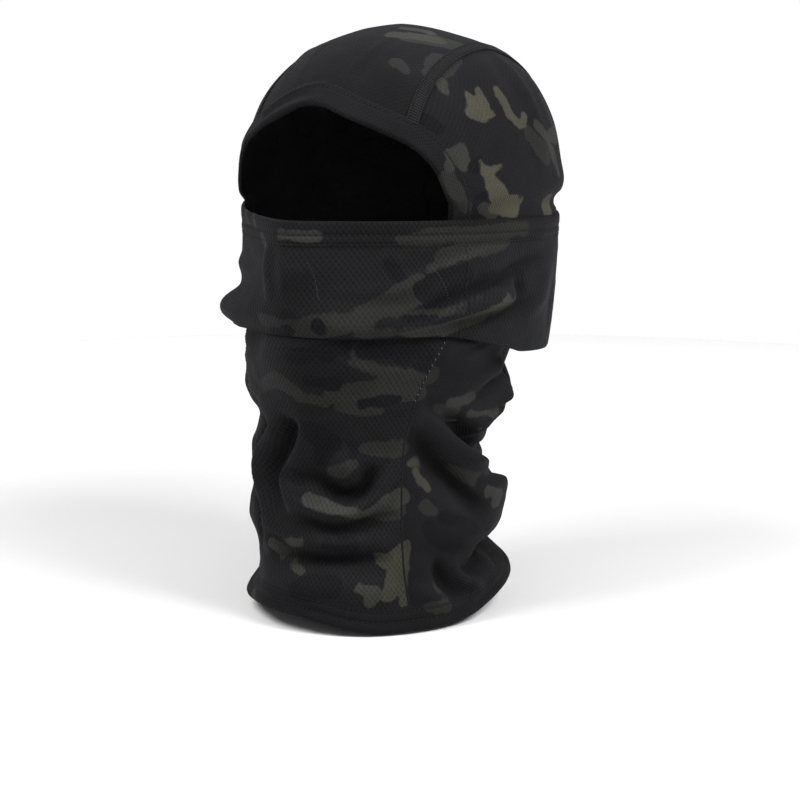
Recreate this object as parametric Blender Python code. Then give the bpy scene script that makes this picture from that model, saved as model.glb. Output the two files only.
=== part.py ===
"""Knitted full-face hood (balaclava) with a separate pull-up face cover.

The hood is an inner cap of three panels with a bound face opening that runs
from the forehead to the chin, a neck tube sewn to it at the collar, and a
ring-shaped face cover that is pulled up over the nose and round the back of
the head, and slides down off the face.

Frame: +Z up, the face looks towards -Y, the wearer's left is +X.  The origin
is the centre of the head space at the level of the face cover's top edge.
All construction is in millimetres and written to the meshes in metres.
"""
import bpy
import math
import numpy as np

# ----------------------------------------------------------- driving sizes
MM = 0.001
FABRIC_T = 1.2          # knitted panel, mm
HEM_T = 2.0             # double-turned hem or binding
SEAM_T = 0.8            # flat seam standing on the panels
GAP = 0.45              # between neighbouring pieces
SEAM_W = 7.0            # width of a covered flat seam
STITCH_W = 1.1
BINDING_W = 12.0        # width of the face opening's binding
TOP_HEM_W = 13.0
BOTTOM_HEM_W = 13.5
DOME_H = 99.5           # crown above the origin
DOME_E = 2.8            # fullness of the crown
COLLAR_Z = -112.0       # where the hood's lower edge is sewn to the neck tube
SLIDE = 90.0            # travel of the face cover

# hood sections: z, half width, front y, back y
HOOD = [(-125, 60.0, -94.0, 36.0), (-112, 60.5, -94.5, 38.0), (-90, 65.0, -95.0, 47.0),
        (-60, 72.0, -96.0, 66.0), (-30, 77.0, -98.5, 83.5), (-12, 78.2, -100.0, 89.0),
        (3, 78.8, -100.0, 90.8), (17, 84.7, -103.4, 103.4), (99.5, 84.7, -103.4, 103.4)]
# neck tube sections
NECK = [(-230, 71.5, -108.0, 56.0), (-212, 71.0, -107.0, 54.0), (-190, 66.0, -104.0, 49.0),
        (-165, 64.0, -103.0, 50.0), (-140, 63.0, -102.0, 47.0), (-112, 65.5, -100.0, 48.0),
        (-90, 70.5, -99.5, 53.0), (-75, 74.0, -99.5, 62.0), (-60, 77.0, -99.5, 71.5),
        (-45, 78.0, -99.5, 80.0)]
# the neck tube standing over the chin: z, height, half width
CHIN = [(-230, 0.5, 34.0), (-165, 0.5, 34.0), (-140, 1.5, 34.0), (-112, 5.5, 34.0),
        (-90, 9.0, 33.0), (-60, 9.5, 32.0), (-45, 9.5, 32.0)]
# face cover sections
COVER = [(-85, 80.6, -100.5, 93.5), (-60, 82.3, -101.5, 96.0), (-30, 82.8, -102.5, 97.0),
         (5, 82.6, -103.0, 96.0)]
# the fabric standing over the nose: z, height, half width
NOSE = [(-85, 8.0, 42.0), (-60, 11.5, 38.0), (-45, 16.0, 31.0), (-28, 18.5, 26.0),
        (-12, 15.5, 25.0), (5, 11.5, 26.0)]
# face opening, one half: angle from the front in degrees, z
OPENING = [(0, 58.6), (6, 57.6), (11, 55.0), (17, 51.6), (28.3, 45.0), (38.6, 37.0),
           (45.0, 26.8), (48.5, 13.0), (52.0, 0.0), (52.5, -15.0), (50.0, -32.0),
           (43.0, -52.0), (32.0, -70.0), (17.0, -83.5), (0, -88.0)]
# bottom edge of the neck tube: angle, z
HEM_EDGE = [(-180, -200.0), (-140, -201.5), (-90, -206.0), (-50, -211.5), (-20, -216.0),
            (5, -219.5), (27, -222.0), (42, -221.0), (58, -216.5), (77, -210.0),
            (97, -205.0), (140, -200.5), (180, -200.0)]
# lower edge of the face cover: angle, z
COVER_EDGE = [(-180, -80.0), (-120, -79.0), (-93, -75.5), (-68, -66.0), (-40, -61.0),
              (0, -60.0), (40, -60.5), (54, -61.5), (68, -66.0), (80, -70.5), (93, -75.5),
              (120, -79.0), (180, -80.0)]
# the roll of slack fabric round the mouth: angle, centre z, height
ROLL = [(-180, -66.0, 0.0), (-125, -62.0, 0.0), (-95, -60.0, 5.0), (-65, -56.0, 9.5),
        (-35, -54.0, 8.0), (0, -51.0, 4.0), (30, -48.0, 5.0), (52, -42.0, 6.0),
        (68, -37.0, 5.0), (82, -34.0, 0.0), (180, -66.0, 0.0)]
# side seam of the neck tube and of the cover: z, angle from the front
SIDE_SEAM = [(-230, 46.9), (-170, 47.5), (-115, 49.7), (-75, 57.0), (-60, 58.5), (10, 58.5)]

COLOURS = {
    "camo_mesh": (0.022, 0.024, 0.024), "camo_knit": (0.020, 0.021, 0.024),
    "hem": (0.016, 0.017, 0.019), "thread": (0.010, 0.010, 0.011)}


# ------------------------------------------------------------ small helpers
def smooth(x, table, col=1):
    """Monotone cubic through a table's (first column, col) pairs."""
    xs = np.array([r[0] for r in table], float)
    ys = np.array([r[col] for r in table], float)
    h = np.diff(xs)
    d = np.diff(ys) / h
    m = np.zeros_like(ys)
    m[0], m[-1] = d[0], d[-1]
    same = d[:-1] * d[1:] > 0
    w1, w2 = 2 * h[1:] + h[:-1], h[1:] + 2 * h[:-1]
    with np.errstate(divide="ignore", invalid="ignore"):
        inner = (w1 + w2) / (w1 / d[:-1] + w2 / d[1:])
    m[1:-1] = np.where(same, inner, 0.0)
    x = np.clip(np.asarray(x, float), xs[0], xs[-1])
    i = np.clip(np.searchsorted(xs, x, side="right") - 1, 0, len(h) - 1)
    t = (x - xs[i]) / h[i]
    return ((2 * t**3 - 3 * t**2 + 1) * ys[i] + (t**3 - 2 * t**2 + t) * h[i] * m[i]
            + (-2 * t**3 + 3 * t**2) * ys[i + 1] + (t**3 - t**2) * h[i] * m[i + 1])


def wrap(phi):
    return (np.asarray(phi, float) + 180.0) % 360.0 - 180.0


def dome(z):
    return np.sqrt(np.clip(1.0 - np.clip(z / DOME_H, 0, 1) ** DOME_E, 0.0, 1.0))


def centre_y(z):
    t = np.clip((-np.asarray(z, float) - 12.0) / 100.0, 0, 1)
    return -20.0 * t * t * (3 - 2 * t)


def section(phi, z, table):
    """Point of an egg-shaped section; phi in degrees from the front to +X."""
    a = np.radians(phi)
    ax, yf, yb = (smooth(z, table, k) for k in (1, 2, 3))
    cy = centre_y(z)
    ay = np.where(np.cos(a) > 0, cy - yf, yb - cy)
    return ax * np.sin(a), -ay * np.cos(a), cy


def hood(phi, z):
    x, y, cy = section(phi, z, HOOD)
    r = dome(z)
    return np.stack([x * r, cy + y * r, np.broadcast_to(z, x.shape)], -1)


def neck(phi, z):
    x, y, cy = section(phi, z, NECK)
    front = np.where(np.cos(np.radians(phi)) > 0, 1.0, 0.0)
    chin = smooth(z, CHIN, 1) * np.exp(-(np.abs(x) / smooth(z, CHIN, 2)) ** 1.7)
    return np.stack([x, cy + y - chin * front, np.broadcast_to(z, x.shape)], -1)


def cover(phi, z):
    x, y, cy = section(phi, z, COVER)
    front = np.where(np.cos(np.radians(phi)) > 0, 1.0, 0.0)
    nose = smooth(z, NOSE, 1) * np.exp(-(np.abs(x) / smooth(z, NOSE, 2)) ** 1.7)
    w = wrap(phi)
    rise = smooth(w, ROLL, 2) * np.exp(-((z - smooth(w, ROLL, 1)) / 9.5) ** 2)
    length = np.maximum(np.hypot(x, y), 1e-6)
    x = x + rise * x / length
    y = y + rise * y / length - nose * front
    return np.stack([x, cy + y, np.broadcast_to(z, x.shape)], -1)


def hood_inverse(p):
    """Angle and z of a point that lies close to the hood's surface."""
    z = np.clip(p[..., 2], -125, 97.0)
    ax, yf, yb = (smooth(z, HOOD, k) for k in (1, 2, 3))
    cy = centre_y(z)
    dy = p[..., 1] - cy
    ay = np.where(dy < 0, cy - yf, yb - cy)
    return np.degrees(np.arctan2(p[..., 0] / ax, -dy / ay)), z


def hood_ray(x, tau):
    """Point of the hood at width x, in direction tau round the ear axis."""
    tau = np.radians(tau)
    lo, hi = np.full(np.shape(x), 5.0), np.full(np.shape(x), 220.0)
    for _ in range(50):
        mid = (lo + hi) / 2
        y, z = -mid * np.cos(tau), mid * np.sin(tau)
        ax, yf, yb = (smooth(z, HOOD, k) for k in (1, 2, 3))
        cy = centre_y(z)
        ay = np.where(y < cy, cy - yf, yb - cy)
        r2 = np.where(z < DOME_H, dome(z) ** 2, -1.0)
        inside = (x / ax) ** 2 + ((y - cy) / ay) ** 2 < r2
        lo, hi = np.where(inside, mid, lo), np.where(inside, hi, mid)
    return np.stack([x, -lo * np.cos(tau), lo * np.sin(tau)], -1)


def resample(p, n, lo=0.0, hi=1.0):
    """n points evenly spaced along a polyline, between two fractions of it."""
    p = np.asarray(p, float)
    s = np.concatenate([[0], np.cumsum(np.linalg.norm(np.diff(p, axis=0), axis=1))])
    t = np.linspace(lo, hi, n) * s[-1]
    return np.stack([np.interp(t, s, p[:, k]) for k in range(p.shape[1])], -1)


def spline(points, per=12):
    """Open Catmull-Rom curve through the points, with mirrored ends."""
    p = np.asarray(points, float)
    first, last = p[1] * [-1, 1], p[-2] * [-1, 1]
    q = np.vstack([first, p, last])
    out = []
    for i in range(1, len(q) - 2):
        for t in np.linspace(0, 1, per, endpoint=False):
            out.append(0.5 * (2 * q[i] + (q[i + 1] - q[i - 1]) * t
                       + (2 * q[i - 1] - 5 * q[i] + 4 * q[i + 1] - q[i + 2]) * t * t
                       + (3 * q[i] - 3 * q[i + 1] + q[i + 2] - q[i - 1]) * t**3))
    out.append(q[-2])
    return np.array(out)


# --------------------------------------------------------- mesh from a grid
def grid_normals(p, closed):
    if closed:
        du = np.roll(p, -1, axis=0) - np.roll(p, 1, axis=0)
    else:
        du = np.gradient(p, axis=0)
    dv = np.gradient(p, axis=1)
    n = np.cross(du, dv)
    n /= np.maximum(np.linalg.norm(n, axis=-1, keepdims=True), 1e-9)
    middle = np.array([0.0, -5.0, -20.0])
    if np.sum(n * (p - middle)) < 0:
        n = -n
    return n


def make(name, p, slot, thickness, lift=0.0, closed=False, normals=None):
    """A closed shell: the grid p is its outer face, thickness goes inwards."""
    n = grid_normals(p, closed) if normals is None else normals
    outer, inner = p + n * lift, p + n * (lift - thickness)
    nu, nv = p.shape[:2]
    verts = np.concatenate([outer.reshape(-1, 3), inner.reshape(-1, 3)]) * MM
    half = nu * nv
    idx = np.arange(half).reshape(nu, nv)
    faces = []
    last = nu if closed else nu - 1
    for i in range(last):
        j = (i + 1) % nu
        for k in range(nv - 1):
            a, b, c, d = idx[i, k], idx[j, k], idx[j, k + 1], idx[i, k + 1]
            faces.append((a, b, c, d))
            faces.append((half + d, half + c, half + b, half + a))
        for k, flip in ((0, False), (nv - 1, True)):
            a, b = idx[i, k], idx[j, k]
            quad = (b, a, half + a, half + b)
            faces.append(quad[::-1] if flip else quad)
    if not closed:
        for i, flip in ((0, True), (nu - 1, False)):
            for k in range(nv - 1):
                a, b = idx[i, k], idx[i, k + 1]
                quad = (b, a, half + a, half + b)
                faces.append(quad[::-1] if flip else quad)
    v = verts[np.array(faces)]
    volume = np.sum(np.cross(v[:, 1] - v[:, 0], v[:, 2] - v[:, 0]) * v[:, 0]
                    + np.cross(v[:, 2] - v[:, 0], v[:, 3] - v[:, 0]) * v[:, 0])
    if volume < 0:
        faces = [f[::-1] for f in faces]
    mesh = bpy.data.meshes.new(name)
    mesh.from_pydata([tuple(map(float, q)) for q in verts], [],
                     [tuple(int(i) for i in f) for f in faces])
    mesh.validate()
    mesh.update()
    mesh.shade_smooth()
    mesh.set_sharp_from_angle(angle=math.radians(50))
    ob = bpy.data.objects.new(name, mesh)
    bpy.context.scene.collection.objects.link(ob)
    mat = bpy.data.materials.new(name + "_" + slot)
    mat.use_nodes = True
    bsdf = mat.node_tree.nodes["Principled BSDF"]
    bsdf.inputs["Base Color"].default_value = (*COLOURS[slot], 1.0)
    bsdf.inputs["Roughness"].default_value = 0.78
    bsdf.inputs["Metallic"].default_value = 0.0
    mesh.materials.append(mat)
    return ob


def strip(line, side, width, n_across=2):
    """Grid of a band centred on a line; side is the unit crosswise direction."""
    w = np.linspace(-0.5, 0.5, n_across) * width
    return line[:, None, :] + side[:, None, :] * w[None, :, None]


def unit(v):
    return v / np.maximum(np.linalg.norm(v, axis=-1, keepdims=True), 1e-9)


# --------------------------------------------------------------- the opening
def opening_line():
    """Right half of the opening's edge, top centre to chin: angle and z."""
    return spline(OPENING)


def opening_band(offset):
    """The same line moved outwards over the hood's surface by an offset."""
    pz = resample(opening_line(), 241)
    p = hood(pz[:, 0], pz[:, 1])
    t = np.gradient(p, axis=0)
    t[0], t[-1] = [t[0, 0], 0, 0], [t[-1, 0], 0, 0]
    t = unit(t)
    e = 0.4
    su = hood(pz[:, 0] + e, pz[:, 1]) - hood(pz[:, 0] - e, pz[:, 1])
    sv = hood(pz[:, 0], pz[:, 1] + e) - hood(pz[:, 0], pz[:, 1] - e)
    n = unit(np.cross(su, sv))
    out = unit(np.cross(n, t))
    centre = np.array([0.0, -90.0, -10.0])
    out = np.where(np.sum(out * (p - centre), -1, keepdims=True) < 0, -out, out)
    q = p + out * offset
    phi, z = hood_inverse(q)
    phi[0] = phi[-1] = 0.0
    return np.stack([phi, z], -1)


def full_ring(half):
    """Mirror a half line (angle, z) into a closed ring without repeats."""
    other = half[1:-1][::-1] * [-1, 1]
    return np.vstack([half, other])


def clear_scene():
    for ob in list(bpy.data.objects):
        bpy.data.objects.remove(ob, do_unlink=True)


def build_hood():
    root = []
    outer_half = opening_band(BINDING_W + 2 * GAP)
    # the crown seam starts where the band's outer border is SEAM_X wide
    seam_x = 49.5
    xyz = hood(outer_half[:, 0], outer_half[:, 1])
    j = int(np.argmax(xyz[:, 0] > seam_x))
    top, low = outer_half[:j + 1], outer_half[j:]
    start = xyz[j]
    tau0 = math.degrees(math.atan2(start[2], -start[1]))
    stations = 27
    v = np.linspace(0, 1, stations)

    def seam_point(v):
        s = np.clip((v - 0.42) / 0.58, 0, 1)
        x = start[0] - 3.0 * np.clip(v / 0.42, 0, 1) - 29.5 * s * s * (3 - 2 * s)
        tau_end = 180.0 + math.degrees(math.atan2(-COLLAR_Z, 37.0))
        return x, tau0 + (tau_end - tau0) * v

    # the crown strip, forehead to nape
    gap_w = 1.0 - GAP / 45.0
    w = np.linspace(-gap_w, gap_w, 13)
    tops = hood(resample(top, 60)[:, 0], resample(top, 60)[:, 1])
    tau_top = np.degrees(np.arctan2(tops[:, 2], -tops[:, 1]))
    xa, ta = seam_point(v)
    grid = np.zeros((13, stations, 3))
    for i, wi in enumerate(w):
        x = xa * wi
        t_front = np.interp(abs(wi) * start[0], tops[:, 0], tau_top)
        tau = t_front * (1 - v) + ta[-1] * v + ta - (ta[0] * (1 - v) + ta[-1] * v)
        grid[i] = hood_ray(x, tau)
    root.append(make("crown_panel", grid, "camo_knit", FABRIC_T))

    # the side panels, between the opening, the crown seam and the collar
    seam3 = hood_ray(xa, ta)
    a_phi, a_z = hood_inverse(seam3)
    a_line = np.stack([a_phi, a_z], -1)
    nv = 19
    b_line = resample(low[::-1], nv)
    b_line[0, 0] = 0.0
    d_line = np.linspace(b_line[0], [0.0, COLLAR_Z], stations)
    c_line = np.linspace([0.0, COLLAR_Z], [a_phi[-1], COLLAR_Z], nv)
    u = v[:, None, None]
    q = np.linspace(0, 1, nv)[None, :, None] ** 3
    patch = ((1 - u) * b_line[None] + u * c_line[None] + (1 - q) * d_line[:, None]
             + q * a_line[:, None]
             - (1 - u) * (1 - q) * b_line[0] - (1 - u) * q * b_line[-1]
             - u * (1 - q) * c_line[0] - u * q * c_line[-1])
    for side, sign in (("left", 1.0), ("right", -1.0)):
        g = hood(patch[..., 0], patch[..., 1])
        g[:, 0, 0] += GAP / 2 + 0.05
        # keep clear of the crown strip along the seam
        inward = unit(g[:, -2] - g[:, -1])
        g[:, -1] += inward * GAP
        g[..., 0] *= sign
        root.append(make("hood_side_panel_" + side, g, "camo_knit", FABRIC_T))

    # covered flat seams over the crown's two borders
    crown_n = grid_normals(grid, False)
    for side, k, sign in (("left", -1, 1.0), ("right", 0, -1.0)):
        line = seam3 * [sign, 1, 1]
        nrm = unit(crown_n[k])
        along = unit(np.gradient(line, axis=0))
        across = unit(np.cross(nrm, along))
        g = strip(line[:-1], across[:-1], SEAM_W, 3)
        nn = np.repeat(nrm[:-1, None, :], 3, axis=1)
        root.append(make("crown_seam_" + side, g, "thread", SEAM_T,
                         lift=SEAM_T + 1.6, normals=nn))

    # binding round the face opening, one closed ring
    rows = [opening_band(o) for o in np.linspace(0.0, BINDING_W, 4)]
    ring = np.stack([full_ring(resample(r, 37)) for r in rows], 1)
    g = hood(ring[..., 0], ring[..., 1])
    root.append(make("face_opening_binding", g, "hem", HEM_T, lift=0.4, closed=True))
    rows = [opening_band(o) for o in (BINDING_W - 2.6, BINDING_W - 1.5)]
    ring = np.stack([full_ring(resample(r, 33)) for r in rows], 1)
    g2 = hood(ring[..., 0], ring[..., 1])
    root.append(make("face_opening_stitch", g2, "thread", 0.5, lift=1.5, closed=True))

    # join between the hood's lower edge and the neck tube
    phi = np.linspace(0, 360, 48, endpoint=False)
    z = np.linspace(COLLAR_Z + 1.0, COLLAR_Z + 7.0, 2)
    g = hood(wrap(phi)[:, None] + 0 * z, z[None] + 0 * phi[:, None])
    root.append(make("hood_neck_seam", g, "thread", SEAM_T, lift=SEAM_T + 1.5, closed=True))
    return root


def build_neck():
    gap_deg = math.degrees((GAP / 2) / 80.0)
    top = [(0, -50.0), (50, -52.0), (80, -62.0), (110, -68.0), (180, -70.0)]

    def rows(phi, n, lo_fn, hi_fn):
        t = np.linspace(0, 1, n)[None, :]
        lo, hi = lo_fn(phi)[:, None], hi_fn(phi)[:, None]
        return lo + (hi - lo) * t

    def hem_top(phi):
        return smooth(wrap(phi), HEM_EDGE) + BOTTOM_HEM_W + GAP

    def neck_top(phi):
        return smooth(np.abs(wrap(phi)), top)

    n_z = 15
    # front panel between the side seams
    base = np.linspace(-1, 1, 15)
    z = rows(base * 52.0, n_z, hem_top, neck_top)
    phi = base[:, None] * (smooth(z, SIDE_SEAM) - gap_deg)
    z = rows(phi[:, 0], n_z, hem_top, neck_top)
    phi = base[:, None] * (smooth(z, SIDE_SEAM) - gap_deg)
    make("neck_front_panel", neck(phi, z), "camo_mesh", FABRIC_T)
    # one panel round the sides and the back
    t = np.linspace(0, 1, 33)
    guess = 50 + t * 260
    z = rows(guess, n_z, hem_top, neck_top)
    s = smooth(z, SIDE_SEAM) + gap_deg
    phi = s + (360 - 2 * s) * t[:, None]
    z = rows(phi[:, 0], n_z, hem_top, neck_top)
    s = smooth(z, SIDE_SEAM) + gap_deg
    phi = s + (360 - 2 * s) * t[:, None]
    make("neck_back_panel", neck(phi, z), "camo_knit", FABRIC_T)
    # side seams
    for side, sign in (("left", 1.0), ("right", -1.0)):
        zz = np.linspace(float(hem_top(np.array([sign * 47.0]))[0]) + 0.5, -57.0, 22)
        ph = sign * smooth(zz, SIDE_SEAM)
        line = neck(ph, zz)
        e = neck(ph + 0.5, zz) - neck(ph - 0.5, zz)
        across = unit(e)
        nrm = unit(np.cross(across, unit(np.gradient(line, axis=0))))
        nrm = np.where(np.sum(nrm * (line - [0, -20, 0]) * [1, 1, 0], -1, keepdims=True) < 0,
                       -nrm, nrm)
        g = strip(line, across, 2.4, 2)
        make("neck_seam_" + side, g, "thread", 0.5, lift=0.95,
             normals=np.repeat(nrm[:, None, :], 2, axis=1))
    # bottom hem, one closed ring
    phi = np.linspace(0, 360, 60, endpoint=False)
    lo = smooth(wrap(phi), HEM_EDGE)[:, None]
    g = neck(phi[:, None] + 0 * lo, lo + np.linspace(0, BOTTOM_HEM_W, 3)[None])
    make("bottom_hem", g, "hem", HEM_T, lift=0.4, closed=True)
    phi = np.linspace(0, 360, 48, endpoint=False)
    lo = smooth(wrap(phi), HEM_EDGE)[:, None]
    for name, h in (("upper", BOTTOM_HEM_W - 2.6), ("lower", BOTTOM_HEM_W - 8.2)):
        g = neck(phi[:, None] + 0 * lo, lo + np.array([h - STITCH_W, h])[None])
        make("bottom_hem_stitch_" + name, g, "thread", 0.5, lift=1.4, closed=True)


def cover_top(phi):
    return -2.0 + 2.0 * np.cos(np.radians(phi))


def build_cover():
    """Every piece hangs from an empty on the slide's axis."""
    gap_deg = math.degrees((GAP / 2) / 90.0)
    slide = bpy.data.objects.new("face_cover_slide_axis", None)
    bpy.context.scene.collection.objects.link(slide)
    parts = []

    def rows(phi, n):
        hi = cover_top(phi)[:, None] - TOP_HEM_W - GAP
        lo = smooth(wrap(phi), COVER_EDGE)[:, None]
        return lo + (hi - lo) * np.linspace(0, 1, n)[None, :]

    n_z = 13
    base = np.linspace(-1, 1, 21)
    phi = (base * (58.5 - gap_deg))[:, None] + np.zeros((1, n_z))
    z = rows(phi[:, 0], n_z)
    parts.append(make("face_cover_front_panel", cover(phi, z), "camo_mesh", FABRIC_T))
    t = np.linspace(0, 1, 37)
    phi = (58.5 + gap_deg + (360 - 117 - 2 * gap_deg) * t)[:, None] + np.zeros((1, n_z))
    z = rows(phi[:, 0], n_z)
    parts.append(make("face_cover_back_panel", cover(phi, z), "camo_knit", FABRIC_T))
    for side, sign in (("left", 1.0), ("right", -1.0)):
        ph0 = np.array([sign * 58.5])
        hi = float(cover_top(ph0)[0]) - TOP_HEM_W - GAP - 0.5
        lo = float(smooth(ph0, COVER_EDGE)[0]) + 1.5
        zz = np.linspace(lo, hi, 16)
        ph = np.full_like(zz, sign * 58.5)
        line = cover(ph, zz)
        across = unit(cover(ph + 0.5, zz) - cover(ph - 0.5, zz))
        nrm = unit(np.cross(across, unit(np.gradient(line, axis=0))))
        nrm = np.where(np.sum(nrm * line * [1, 1, 0], -1, keepdims=True) < 0, -nrm, nrm)
        parts.append(make("face_cover_seam_" + side, strip(line, across, 2.4, 2), "thread",
                          0.5, lift=1.15, normals=np.repeat(nrm[:, None, :], 2, axis=1)))
    phi = np.concatenate([np.linspace(-60, 60, 31), np.linspace(60, 300, 33)[1:-1]])
    hi = cover_top(phi)[:, None]
    g = cover(phi[:, None] + 0 * hi, hi - np.linspace(TOP_HEM_W, 0, 3)[None])
    parts.append(make("face_cover_top_hem", g, "hem", HEM_T, lift=0.3, closed=True))
    phi = np.concatenate([np.linspace(-60, 60, 25), np.linspace(60, 300, 25)[1:-1]])
    hi = cover_top(phi)[:, None]
    for name, d in (("upper", 6.3), ("lower", 11.2)):
        g = cover(phi[:, None] + 0 * hi, hi - np.array([d + STITCH_W, d])[None])
        parts.append(make("top_hem_stitch_" + name, g, "thread", 0.5, lift=1.4, closed=True))
    for ob in parts:
        ob.parent = slide


def main():
    clear_scene()
    build_hood()
    build_neck()
    build_cover()


main()
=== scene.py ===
"""Looks of the knitted full-face hood with its pull-up face cover.

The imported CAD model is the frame.  Every cloth piece is built again here as a
fine closed shell on the same surfaces, with its folds, hems, seams and
stitches, and stands for its CAD node.  All construction is in millimetres.
"""
import math
import bpy
import numpy as np
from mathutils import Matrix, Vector


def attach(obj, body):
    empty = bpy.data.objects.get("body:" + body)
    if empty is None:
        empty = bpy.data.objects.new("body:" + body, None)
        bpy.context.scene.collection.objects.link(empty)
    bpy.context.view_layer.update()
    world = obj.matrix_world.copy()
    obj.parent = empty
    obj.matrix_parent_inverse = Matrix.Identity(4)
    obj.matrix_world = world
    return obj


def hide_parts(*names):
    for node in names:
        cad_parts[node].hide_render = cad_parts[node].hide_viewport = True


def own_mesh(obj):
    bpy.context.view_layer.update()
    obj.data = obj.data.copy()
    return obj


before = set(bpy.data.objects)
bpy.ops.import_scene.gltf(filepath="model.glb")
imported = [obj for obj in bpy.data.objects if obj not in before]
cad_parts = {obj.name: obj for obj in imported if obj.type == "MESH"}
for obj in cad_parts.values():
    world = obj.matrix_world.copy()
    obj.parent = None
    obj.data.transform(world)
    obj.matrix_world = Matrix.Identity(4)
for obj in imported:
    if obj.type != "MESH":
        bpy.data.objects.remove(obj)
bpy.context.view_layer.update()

MM = 0.001

# ------------------------------------------------------------------- camera
AZ, EL, DIST, LENS = 31.0, 10.4, 1.175, 92.52


def make_camera():
    a, e = math.radians(AZ), math.radians(EL)
    back = Vector((math.sin(a) * math.cos(e), -math.cos(a) * math.cos(e), math.sin(e)))
    right = Vector((math.cos(a), math.sin(a), 0.0))
    target = Vector((0.0, 0.0, -0.112)) - right * 0.0017
    data = bpy.data.cameras.new("camera")
    data.lens = LENS
    data.sensor_width = 36.0
    data.clip_start, data.clip_end = 0.05, 30.0
    cam = bpy.data.objects.new("camera", data)
    bpy.context.scene.collection.objects.link(cam)
    cam.location = target + back * DIST
    cam.rotation_mode = "QUATERNION"
    cam.rotation_quaternion = (-back).to_track_quat("-Z", "Y")
    bpy.context.scene.camera = cam


make_camera()

# ------------------------------------------------- surfaces, as the CAD has
GAP = 0.45
SEAM_W = 7.0
BINDING_W = 12.0
TOP_HEM_W = 13.0
BOTTOM_HEM_W = 13.5
DOME_H, DOME_E = 99.5, 2.8
COLLAR_Z = -112.0

HOOD = [(-125, 60.0, -94.0, 36.0), (-112, 60.5, -94.5, 38.0), (-90, 65.0, -95.0, 47.0),
        (-60, 72.0, -96.0, 66.0), (-30, 77.0, -98.5, 83.5), (-12, 78.2, -100.0, 89.0),
        (-1, 78.6, -100.0, 90.4), (3.5, 80.6, -101.0, 94.6), (9, 84.3, -103.0, 101.6),
        (17, 84.9, -103.4, 103.4), (99.5, 84.7, -103.4, 103.4)]
NECK = [(-230, 71.5, -108.0, 56.0), (-212, 71.0, -107.0, 54.0), (-190, 66.0, -104.0, 49.0),
        (-165, 64.0, -103.0, 50.0), (-140, 63.0, -102.0, 47.0), (-112, 65.5, -100.0, 48.0),
        (-90, 70.5, -99.5, 53.0), (-75, 74.0, -99.5, 62.0), (-60, 77.0, -99.5, 71.5),
        (-45, 78.0, -99.5, 80.0)]
CHIN = [(-230, 0.5, 34.0), (-165, 0.5, 34.0), (-140, 1.5, 34.0), (-112, 5.5, 34.0),
        (-90, 9.0, 33.0), (-60, 9.5, 32.0), (-45, 9.5, 32.0)]
COVER = [(-85, 80.6, -100.5, 93.5), (-60, 82.3, -101.5, 96.0), (-30, 82.8, -102.5, 97.0),
         (5, 82.6, -103.0, 96.0)]
NOSE = [(-85, 8.0, 42.0), (-60, 11.5, 38.0), (-45, 16.0, 31.0), (-28, 18.5, 26.0),
        (-12, 15.5, 25.0), (5, 11.5, 26.0)]
OPENING = [(0, 58.6), (6, 57.6), (11, 55.0), (17, 51.8), (28.3, 45.4), (39.2, 37.4),
           (46.4, 26.8), (50.6, 13.0), (54.2, 0.0), (53.5, -15.0), (50.0, -32.0),
           (43.0, -52.0), (32.0, -70.0), (17.0, -83.5), (0, -88.0)]
HEM_EDGE = [(-180, -202.0), (-140, -202.5), (-90, -206.5), (-70, -211.5), (-52, -214.6), (-32, -212.8),
            (-6, -212.4), (10, -214.6), (23, -218.0), (35, -220.0), (55, -220.0),
            (66, -219.4), (77, -217.0), (86, -213.4), (97, -209.6), (112, -206.8),
            (140, -204.0), (180, -202.0)]
COVER_EDGE = [(-180, -80.0), (-120, -79.0), (-93, -75.5), (-68, -66.0), (-40, -61.0),
              (0, -60.0), (40, -60.5), (54, -61.5), (68, -66.0), (80, -70.5), (93, -75.5),
              (120, -79.0), (180, -80.0)]
ROLL = [(-180, -66.0, 0.0), (-125, -62.0, 0.0), (-95, -60.0, 5.0), (-65, -54.0, 9.8),
        (-35, -53.0, 8.0), (0, -51.0, 4.0), (30, -48.0, 5.0), (52, -42.0, 6.0),
        (68, -37.0, 5.0), (82, -34.0, 0.0), (180, -66.0, 0.0)]
SIDE_SEAM = [(-230, 48.0), (-207, 47.0), (-180, 46.0), (-154, 46.1), (-124, 46.5),
             (-109, 47.0), (-97, 48.3), (-86, 50.2), (-73, 52.4), (-60, 55.5), (10, 58.5)]
COVER_RIM = [(-180, -4.4), (-120, -3.4), (-90, -2.2), (-60, -1.2), (-20, -0.8), (0, -0.9),
             (31, -1.4), (60, -2.2), (90, -4.0), (118, -5.8), (150, -5.4), (180, -4.4)]
NECK_TOP = [(0, -50.0), (50, -52.0), (80, -62.0), (110, -68.0), (180, -70.0)]


def smooth(x, table, col=1):
    """Monotone cubic through a table's (first column, col) pairs."""
    xs = np.array([r[0] for r in table], float)
    ys = np.array([r[col] for r in table], float)
    h = np.diff(xs)
    d = np.diff(ys) / h
    m = np.zeros_like(ys)
    m[0], m[-1] = d[0], d[-1]
    same = d[:-1] * d[1:] > 0
    w1, w2 = 2 * h[1:] + h[:-1], h[1:] + 2 * h[:-1]
    with np.errstate(divide="ignore", invalid="ignore"):
        inner = (w1 + w2) / (w1 / d[:-1] + w2 / d[1:])
    m[1:-1] = np.where(same, inner, 0.0)
    x = np.clip(np.asarray(x, float), xs[0], xs[-1])
    i = np.clip(np.searchsorted(xs, x, side="right") - 1, 0, len(h) - 1)
    t = (x - xs[i]) / h[i]
    return ((2 * t**3 - 3 * t**2 + 1) * ys[i] + (t**3 - 2 * t**2 + t) * h[i] * m[i]
            + (-2 * t**3 + 3 * t**2) * ys[i + 1] + (t**3 - t**2) * h[i] * m[i + 1])


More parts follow.
